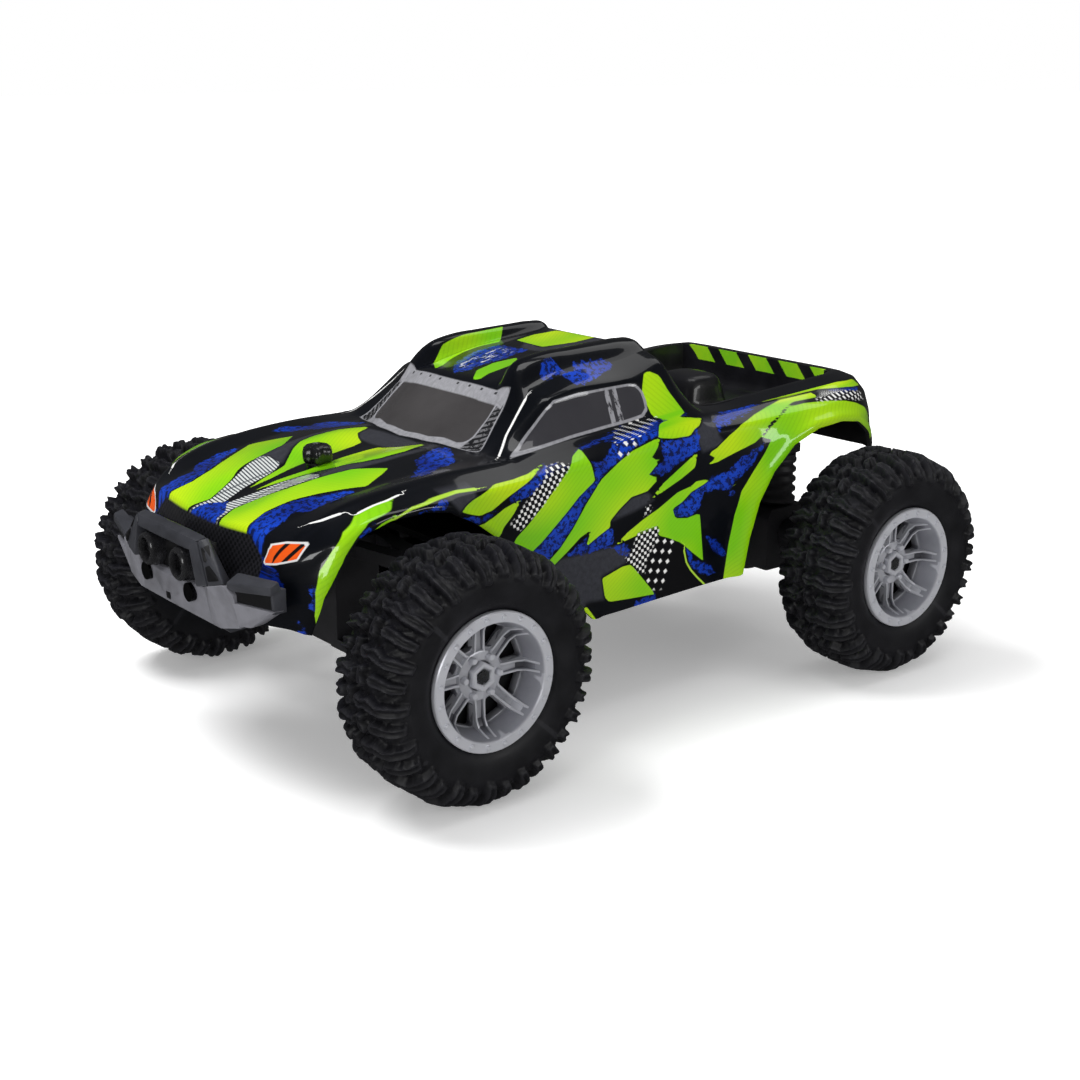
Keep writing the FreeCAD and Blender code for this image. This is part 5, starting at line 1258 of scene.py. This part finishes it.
PLATE_HULLS = [
    # light plate below the lamps
    [(66.9, 0, 28.7), (66.5, 7.2, 28.9), (66.2, 11.0, 29.3), (65.0, 13.3, 23.3), (65.9, 7.0, 23.9),
     (66.7, 0, 24.5), (63.0, 0, 28.7), (63.0, 11.0, 29.3), (62.0, 13.0, 23.3), (62.6, 0, 24.5),
     (66.5, -7.2, 28.9), (66.2, -11.0, 29.3), (65.0, -13.3, 23.3), (65.9, -7.0, 23.9), (63.0, -11.0, 29.3),
     (62.0, -13.0, 23.3)],
    # corner facets
    [(66.8, 12.9, 30.1), (66.1, 16.2, 30.9), (65.3, 17.9, 29.6), (64.5, 17.9, 24.4), (65.1, 13.2, 23.3),
     (66.2, 10.6, 29.4), (65.2, 11.0, 23.5), (62.6, 12.0, 30.0), (62.4, 17.6, 30.0), (61.8, 17.4, 24.4),
     (62.2, 12.0, 23.4)],
    # lower facet of the wing
    [(65.4, 17.0, 28.4), (63.2, 25.4, 28.6), (64.7, 17.0, 24.6), (63.8, 20.0, 24.9), (61.0, 25.2, 28.4),
     (61.6, 17.0, 28.4), (61.6, 17.0, 24.8), (61.4, 20.0, 25.1)],
]
# Near-black fills in the bumper's recesses, panels and tow slot: painted shade.
RECESS_SHADE_HULLS = [
    [(65.6, 9.6, 29.2), (65.6, -9.6, 29.2), (65.2, 8.8, 35.0), (65.2, -8.8, 35.0), (62.4, 9.6, 28.6),
     (62.4, -9.6, 28.6), (62.8, 8.8, 35.0), (62.8, -8.8, 35.0)],
    # dark inset panels on the sloping uprights
    [(66.46, 10.9, 35.3), (65.2, 11.1, 35.7), (65.76, 12.9, 33.9), (66.74, 12.1, 33.5), (64.8, 10.6, 34.4),
     (64.9, 12.2, 32.9)],
    [(66.78, 12.5, 32.9), (65.86, 13.4, 33.3), (66.14, 15.4, 31.4), (66.96, 13.5, 30.9), (64.9, 12.4, 31.9),
     (65.1, 14.0, 30.6)],
    # panel in the wing
    [(64.78, 17.5, 30.5), (63.12, 24.7, 31.0), (62.93, 24.7, 28.7), (64.75, 17.5, 28.5), (63.9, 17.5, 30.5),
     (62.2, 24.7, 31.0), (62.1, 24.7, 28.7), (63.9, 17.5, 28.5)],
    # tow slot
    [(66.86, 0.65, 26.0), (66.86, -0.65, 26.0), (66.80, 0.65, 24.9), (66.80, -0.65, 24.9), (66.0, 0.65, 26.0),
     (66.0, -0.65, 26.0), (66.0, 0.65, 24.9), (66.0, -0.65, 24.9)],
]
LAMP_Y, LAMP_Z = 5.2, 31.7
LAMP_RINGS = [(0.0, 64.4), (2.95, 64.4), (2.9, 65.6), (2.6, 67.2), (2.48, 67.6), (2.2, 67.82), (1.85, 67.78),
              (1.6, 67.4), (1.5, 66.6), (0.8, 66.35), (0.0, 66.3)]
# Roof ridges: place along the truck, height above the roof and how far the ridge moves outwards.
RIDGES = [(14.4, 0.0, 2.8), (13.4, 0.3, 2.1), (12.5, 0.9, 1.4), (11.7, 1.9, 0.8), (10.9, 2.6, 0.4),
          (9.8, 3.0, 0.1),
          (8.6, 3.15, 0.0), (5.0, 2.7, 0.0), (0.0, 2.1, 0.0), (-6.0, 1.85, 0.0), (-11.0, 1.5, 0.0),
          (-13.2, 1.1, 0.0),
          (-15.0, 1.0, 0.0), (-16.3, 1.0, 0.0), (-17.3, 0.6, 0.0), (-18.4, 0.1, 0.0), (-19.0, 0.0, 0.0)]
RIDGE_PROFILE = [(9.3, 0.0), (9.8, 0.12), (10.3, 0.55), (10.8, 0.88), (11.5, 1.0), (12.4, 1.0), (13.2, 0.94),
                 (14.0, 0.74), (14.8, 0.4), (15.6, 0.13), (16.4, 0.02), (17.1, 0.0)]


def build_bumper(plastic, plate_plastic, dark, lamp):
    """Bumper hoop and wings, its lighter plate, near-black fills of painted shade in its recesses and the two
    lamp barrels.
    """
    bumper = hull_piece("bumper_skin", BUMPER_HULLS, plastic, "chassis", 0.22)
    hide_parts("front_bumper")
    hull_piece("bumper_plate", PLATE_HULLS, plate_plastic, "chassis", 0.22)
    # near-black painted shade in the recesses
    hull_piece("bumper_recess_shade", RECESS_SHADE_HULLS, dark, "chassis", 0.12)
    solid = Solid()
    for side in (1, -1):

        def place(r, angle, x):
            return (x, side * LAMP_Y + r * math.cos(angle), LAMP_Z + r * math.sin(angle))

        solid.lathe(LAMP_RINGS, 40, place)
    barrels = new_piece("lamp_barrels", solid.verts, solid.faces, lamp, "chassis", 40.0)
    tidy_mesh(barrels.data, 40.0)
    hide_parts("headlights")


SHOCK_Y = 15.0
BOOT_FOLDS = 5
BOOT_Z = (24.2, 33.4)
# Corners of an axle cover, from the middle of the spring's foot.
COVER_POINTS = [(5.6, 3.6, 12.6), (5.6, -3.4, 12.6), (-5.2, 3.6, 12.6), (-5.2, -3.4, 12.6), (5.6, 3.6, 22.4),
                (5.6, -3.4, 22.4), (-5.2, 3.6, 22.4), (-5.2, -3.4, 22.4), (4.2, 3.2, 24.0), (4.2, -3.2, 24.0),
                (-4.2, 3.2, 24.0), (-4.2, -3.2, 24.0)]


def build_shocks(material):
    """Ribbed boots round the rear springs and the covers that they stand on."""
    rear = WHEELS["rear_left"][0][0]
    low, high = BOOT_Z
    step = (high - low) / BOOT_FOLDS
    for side, name in SIDES:
        profile = [(0.0, low)]
        for k in range(BOOT_FOLDS):
            base = low + k * step
            profile += [(3.0, base + 0.1 * step), (3.55, base + 0.35 * step), (3.55, base + 0.6 * step),
                        (3.0, base + 0.85 * step)]
        profile.append((0.0, high))
        solid = Solid()

        def place(r, angle, z):
            return (rear + r * math.cos(angle), side * SHOCK_Y + r * math.sin(angle), z)

        solid.lathe(profile, 32, place)
        boot = new_piece("shock_boot_" + name, solid.verts, solid.faces, material, "chassis", 50.0)
        tidy_mesh(boot.data, 50.0)
        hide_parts("rear_spring_" + name)
        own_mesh(boot)
        cover = [(rear + a, side * (SHOCK_Y + b), z) for a, b, z in COVER_POINTS]
        hull_piece("axle_cover_" + name, [cover], material, "rear_pod", 0.4, False)


KINGPIN_Y = 30.0
COIL_Z = (23.8, 31.0)
COIL_RADIUS = 1.9
COIL_WIRE = 0.3
COIL_TURNS = 5
COIL_STEPS = 20


def build_kingpin_springs(material):
    """Coils round the kingpins."""
    low, high = COIL_Z
    radius, wire = COIL_RADIUS, COIL_WIRE
    centre_x, centre_y = WHEELS["front_left"][0][0], KINGPIN_Y
    steps = COIL_TURNS * COIL_STEPS
    for side, name in SIDES:
        loops = []
        for k in range(steps + 1):
            angle = 2 * math.pi * k / COIL_STEPS
            z = low + wire + (high - low - 2 * wire) * k / steps
            loop = []
            for s in range(8):
                tilt = 2 * math.pi * s / 8
                reach = radius + wire * math.cos(tilt)
                loop.append((centre_x + reach * math.cos(angle), side * (centre_y + reach * math.sin(angle)),
                             z + wire * math.sin(tilt)))
            loops.append(loop)
        solid = Solid()
        solid.rings(loops)
        spring = new_piece("spring_coil_" + name, solid.verts, solid.faces, material, "chassis", 50.0)
        tidy_mesh(spring.data, 50.0)
        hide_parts("kingpin_spring_" + name)
        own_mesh(spring)


BODY_TOP_Z = 44.0
RIDGE_STEP = 0.5
RIDGE_ACROSS = 0.3


def surface_height(shell, x, y):
    """Height of the shell in millimetres at a place seen from above."""
    for nudge in (0.0, 0.03, -0.05):
        found, place, _, _ = shell.ray_cast(Vector((x, y + nudge, 90)) * MM, Vector((0, 0, -1)))
        if found:
            return place.z / MM
    return BODY_TOP_Z


def build_ridges(shell, material):
    """Moulded ridges that rise out of the windscreen pillars and run along both edges of the roof."""
    bpy.context.view_layer.update()
    stations = np.arange(RIDGES[0][0], RIDGES[-1][0] - 0.01, -RIDGE_STEP)
    rises, shifts = [np.interp(-stations, [-r[0] for r in RIDGES], [r[k] for r in RIDGES]) for k in (1, 2)]
    across = np.arange(RIDGE_PROFILE[0][0], RIDGE_PROFILE[-1][0] + 0.01, RIDGE_ACROSS)
    share = np.interp(across, [p[0] for p in RIDGE_PROFILE], [p[1] for p in RIDGE_PROFILE])
    for _ in range(3):
        share[1:-1] = (share[:-2] + share[2:] + 2 * share[1:-1]) / 4
        rises[1:-1] = (rises[:-2] + rises[2:] + 2 * rises[1:-1]) / 4
    for side, name in SIDES:
        loops = []
        for x, rise, shift in zip(stations, rises, shifts):
            ground = np.array([surface_height(shell, x, side * (y + shift)) for y in across])
            upper = ground + rise * share - 0.08 * (1 - share)
            loop = [(x, side * (y + shift), z) for y, z in zip(across, upper)]
            loop += [(x, side * (y + shift), z - 0.45) for y, z in zip(across[::-1], ground[::-1])]
            loops.append(loop)
        solid = Solid()
        solid.rings(loops)
        obj = new_piece("roof_ridge_" + name, solid.verts, solid.faces, material, "chassis", 60.0)
        tidy_mesh(obj.data, 60.0)
        spots = np.array([v.co for v in obj.data.vertices]) / MM
        values = graphics(spots, np.full(len(spots), 3.0))
        for key, value in values.items():
            obj.data.attributes.new(key, "FLOAT", "POINT").data.foreach_set("value", value.astype(np.float32))


CLIP_X = 39.9
CLIP_RINGS = [(1.2, 42.0), (2.0, 42.2), (2.35, 42.7), (2.4, 43.6), (2.2, 44.4), (1.7, 44.9), (1.0, 45.1),
              (0.6, 44.7)]


def build_clip(material):
    """Lobed twist knob that holds the bonnet down."""
    solid = Solid()
    loops = []
    for r, z in CLIP_RINGS:
        lobes = 0.1 * min(1.0, max(0.0, r - 1.2))
        loop = []
        for t in np.arange(72) * 2 * math.pi / 72:
            reach = r * (1 + lobes * math.cos(6 * t))
            loop.append((CLIP_X + reach * math.cos(t), reach * math.sin(t), z))
        loops.append(loop)
    solid.rings(loops)
    obj = new_piece("bonnet_clip_skin", solid.verts, solid.faces, material, "chassis", 50.0)
    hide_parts("bonnet_clip")


def rail_height(x):
    """Height of the bed's rail at a place along the truck."""
    return float(np.interp(-x, [19.8, 25.0, 36.0, 47.0, 56.0, 59.6], [47.4, 46.3, 47.0, 47.8, 48.4, 48.6]))


def bed_loop(inset, z):
    """Bed outline moved inwards, at a height or, with z None, at rail height."""
    (x0, y0), _, (x1, y1), _ = BED_OUTLINE
    corners = [(x, y) for x, y in ((x0 - inset, y0 + inset), (x0 - inset, y1 - inset),
                                   (x1 + inset, y1 - inset), (x1 + inset, y0 + inset))]
    dense = []
    for (ax, ay), (bx, by) in zip(corners, corners[1:] + corners[:1]):
        dense += [(ax + (bx - ax) * k / 12, ay + (by - ay) * k / 12) for k in range(12)]
    radius = max(0.6, BED_CORNER - inset)
    loop = []
    for x, y in dense:
        cx = min(max(x, x1 + inset + radius), x0 - inset - radius)
        cy = min(max(y, y0 + inset + radius), y1 - inset - radius)
        dx, dy = x - cx, y - cy
        reach = math.hypot(dx, dy)
        if dx and dy and reach > radius:
            x, y = cx + dx / reach * radius, cy + dy / reach * radius
        loop.append((x, y, rail_height(x) - 0.1 if z is None else z))
    return loop


def build_bed(material):
    """Recessed load bed with rounded corners and a rounded hump in the middle."""
    solid = Solid()
    loops = [bed_loop(1.6, 40.7), bed_loop(0.5, 41.0), bed_loop(-0.35, 42.5), bed_loop(-0.35, None),
             bed_loop(0.25, None)]
    for inset, z in ((0.35, 44.5), (0.5, 43.0), (0.8, 42.1), (1.3, 41.6), (2.0, 41.4)):
        loops.append(bed_loop(inset, z))
    solid.rings(loops)
    foot = [(-45.8, -6.4), (-34.2, -6.4), (-34.2, 6.4), (-45.8, 6.4)]
    top = [(-44.2, -4.9), (-35.8, -4.9), (-35.8, 4.9), (-44.2, 4.9)]
    humps = [(foot, 2.6, 41.2), (foot, 2.6, 41.5)]
    levels = [(0.3, 42.1), (0.5, 43.2), (0.75, 45.2), (1.0, 46.4), (1.35, 47.1), (1.9, 47.4), (2.6, 47.5)]
    for share, z in levels:
        mix_loop = [tuple(f + (t - f) * share for f, t in zip(a, b)) for a, b in zip(foot, top)]
        humps.append((mix_loop, 2.6, z))
    solid.rings([[(x, y, z) for x, y in rounded(loop, radius, 4)] for loop, radius, z in humps])
    obj = new_piece("bed_tray", solid.verts, solid.faces, material, "chassis", 40.0)
    tidy_mesh(obj.data, 40.0)


DASH_PITCH = 8.0


def bed_paint():
    """Satin black tray with five lime dashes along the top of its tail wall."""
    g = Graph("bed_paint")
    split = g.node("ShaderNodeSeparateXYZ", {"Vector": g.coord})
    x = g.times(split.outputs["X"], 1000.0)
    y = g.times(split.outputs["Y"], 1000.0)
    z = g.times(split.outputs["Z"], 1000.0)
    cloud = g.noise(150.0, 4.0, 0.6)
    fine = g.noise(GRAIN_SCALE, 2.0, 0.6)
    color = g.mix(g.ramp(cloud, 0.35, 0.65), srgb(15, 15, 18), srgb(27, 27, 31))
    slanted = g.math("MULTIPLY_ADD", z, 0.9, y)
    dash = g.fall(g.fold(slanted, DASH_PITCH), 0.29, 0.31)
    wall = g.times(g.fall(x, -56.6, -56.5), g.ramp(z, 45.7, 45.8))
    inner = g.fall(g.size(y), 17.9, 18.0)
    lime = g.mix(g.ramp(cloud, 0.4, 0.6), srgb(120, 196, 24), srgb(150, 208, 24))
    color = g.mix(g.times(dash, g.times(wall, inner)), color, lime)
    g.set(color=color, coat=0.4)
    g.set(rough=g.plus(g.ramp(cloud, 0.3, 0.7, 0.3, 0.42), g.times(fine, 0.06)))
    g.bump(fine, 0.2, 0.02)
    return g.mat


# ------------------------------------------------------------------ assembly

black_plastic = moulded("black_nylon", srgb(30, 30, 33), 0.45, tint=0.3)
shell_inside = moulded("shell_inside", srgb(18, 18, 20), 0.5, grain=0.15)
FINISH = {
    "shell": black_plastic,
    "bumper_plastic": moulded("bumper_plastic", srgb(46, 47, 52), 0.36, grain=0.25, coat=0.2),
    "black_plastic": black_plastic,
    "clip_plastic": moulded("clip_plastic", srgb(14, 14, 16), 0.22, grain=0.1, coat=0.5),
    "screw_black": brushed("black_oxide", srgb(40, 40, 42), 0.38),
    "screw_steel": brushed("zinc_plate", srgb(150, 152, 156), 0.34),
    "steel_pin": brushed("ground_steel", srgb(170, 171, 174), 0.28),
    "spring_steel": brushed("spring_wire", srgb(34, 34, 37), 0.4),
    "rim_silver": rim_paint(),
    "tyre_rubber": rubber(),
    "bronze": brushed("sintered_bronze", srgb(176, 132, 74), 0.45),
    "gear_plastic": moulded("acetal", srgb(214, 214, 206), 0.4, grain=0.15, tint=0.06),
    "gear_brass": brushed("gear_brass", srgb(206, 168, 92), 0.3),
    "motor_can": brushed("motor_can", srgb(168, 170, 172), 0.3),
    "circuit_board": moulded("circuit_board", srgb(24, 92, 50), 0.3, grain=0.1, coat=0.3),
    "battery_sleeve": moulded("battery_sleeve", srgb(30, 74, 150), 0.25, grain=0.1, coat=0.6),
    "lamp": moulded("lamp_barrel", srgb(20, 20, 22), 0.2, grain=0.08, coat=0.6),
}
nut_steel = moulded("nut_steel", srgb(118, 119, 125), 0.32, grain=0.1, metal=0.35)
slot_of = {part["node"]: part["material_slot"] for part in frame["record"]["subparts"]}
for node_name, node_obj in frame["nodes"].items():
    node_obj.data.materials.clear()
    nut = node_name.startswith("wheel_nut")
    node_obj.data.materials.append(nut_steel if nut else FINISH[slot_of[node_name]])

paint = shell_paint()
shell_skin = build_shell(paint, shell_inside)
# shell_inside also colours the rims' dark disc of painted shade
build_wheels(FINISH["tyre_rubber"], FINISH["rim_silver"], shell_inside)
# bumper_recess is the near-black painted shade in the bumper's recesses
build_bumper(FINISH["bumper_plastic"], moulded("plate_plastic", srgb(99, 99, 105), 0.4, grain=0.25, coat=0.1),
             moulded("bumper_recess", srgb(8, 8, 10), 0.4, grain=0.15), FINISH["lamp"])
build_shocks(black_plastic)
build_ridges(shell_skin, paint)
build_kingpin_springs(FINISH["spring_steel"])
build_clip(FINISH["clip_plastic"])
build_bed(bed_paint())


# ------------------------------------------------------------------ studio

ROOM_LIGHT = 0.42
ROOM_GLOSS = 0.045
FLOOR_Z = -0.5 * MM
FLOOR_HALF = 4.0
# Area lights in metres: place, target, size and power.
LIGHTS = {
    "key_light": ((0.20, -0.24, 0.54), (0, 0, 0.03), (0.30, 0.30), 3.5),
    "top_light": ((-0.04, 0.05, 0.60), (0, 0, 0.03), (0.16, 0.40), 0.45),
    "front_light": ((0.60, 0.28, 0.26), (0, 0, 0.03), (0.16, 0.24), 0.7),
    "side_light": ((-0.20, 0.62, 0.30), (0, 0, 0.03), (0.44, 0.10), 0.7),
    "shoulder_light": ((-0.30, -0.02, 0.46), (0.02, 0.04, 0.02), (0.24, 0.24), 0.16),
}
CAMERA_PLACE = (0.1727, 0.2244, 0.1041)
CAMERA_LENS = 56.03
CAMERA_PITCH = -16.15
CAMERA_YAW = -128.35


def studio():
    """White room that lights the truck softly, a pale floor and five area lights."""
    scene = bpy.context.scene
    scene.view_settings.view_transform = "Standard"
    world = bpy.data.worlds.new("studio")
    scene.world = world
    world.use_nodes = True
    tree = world.node_tree
    path = tree.nodes.new("ShaderNodeLightPath")
    seen = tree.nodes.new("ShaderNodeMapRange")
    seen.inputs["To Min"].default_value = ROOM_LIGHT
    seen.inputs["To Max"].default_value = 1.0
    gloss = tree.nodes.new("ShaderNodeMix")
    gloss.inputs["B"].default_value = ROOM_GLOSS
    tree.links.new(path.outputs["Is Camera Ray"], seen.inputs["Value"])
    tree.links.new(path.outputs["Is Glossy Ray"], gloss.inputs["Factor"])
    tree.links.new(seen.outputs["Result"], gloss.inputs["A"])
    background = tree.nodes["Background"]
    tree.links.new(gloss.outputs["Result"], background.inputs["Strength"])
    background.inputs["Color"].default_value = (1.0, 1.0, 1.0, 1.0)

    mesh = bpy.data.meshes.new("floor")
    corners = [(x * FLOOR_HALF, y * FLOOR_HALF, FLOOR_Z) for x, y in ((-1, -1), (1, -1), (1, 1), (-1, 1))]
    mesh.from_pydata(corners, [], [(0, 1, 2, 3)])
    floor = add_object("floor", mesh)
    g = Graph("floor_paper")
    g.set(color=g.mix(g.noise(6.0, 2.0), srgb(248, 248, 248), srgb(252, 252, 252)), rough=0.9, specular=0.1)
    # The floor glows: faintly near the truck, a painted light that lifts its shadow, and more strongly
    # further out.
    away = g.node("ShaderNodeVectorMath", {0: g.coord}, operation="LENGTH").outputs["Value"]
    g.set(emission=(1.0, 1.0, 1.0, 1.0), glow=g.ramp(away, 0.1, 0.38, 0.24, 0.75))
    mesh.materials.append(g.mat)
    floor.visible_glossy = False

    for name, (place, target, size, power) in LIGHTS.items():
        light = bpy.data.lights.new(name, "AREA")
        light.shape = "RECTANGLE"
        light.size, light.size_y = size
        light.energy = power
        obj = add_object(name, light)
        obj.location = place
        obj.rotation_euler = (Vector(target) - Vector(place)).to_track_quat("-Z", "Y").to_euler()
        obj.visible_glossy = name != "key_light"


def camera():
    """Camera at the front left of the truck."""
    data = bpy.data.cameras.new("camera")
    data.sensor_width = 36.0
    data.lens = CAMERA_LENS
    obj = add_object("camera", data)
    obj.location = CAMERA_PLACE
    pitch, yaw = math.radians(CAMERA_PITCH), math.radians(CAMERA_YAW)
    look = Vector((math.cos(pitch) * math.cos(yaw), math.cos(pitch) * math.sin(yaw), math.sin(pitch)))
    obj.rotation_euler = look.to_track_quat("-Z", "Y").to_euler()
    data.dof.use_dof = False
    bpy.context.scene.camera = obj


studio()
camera()
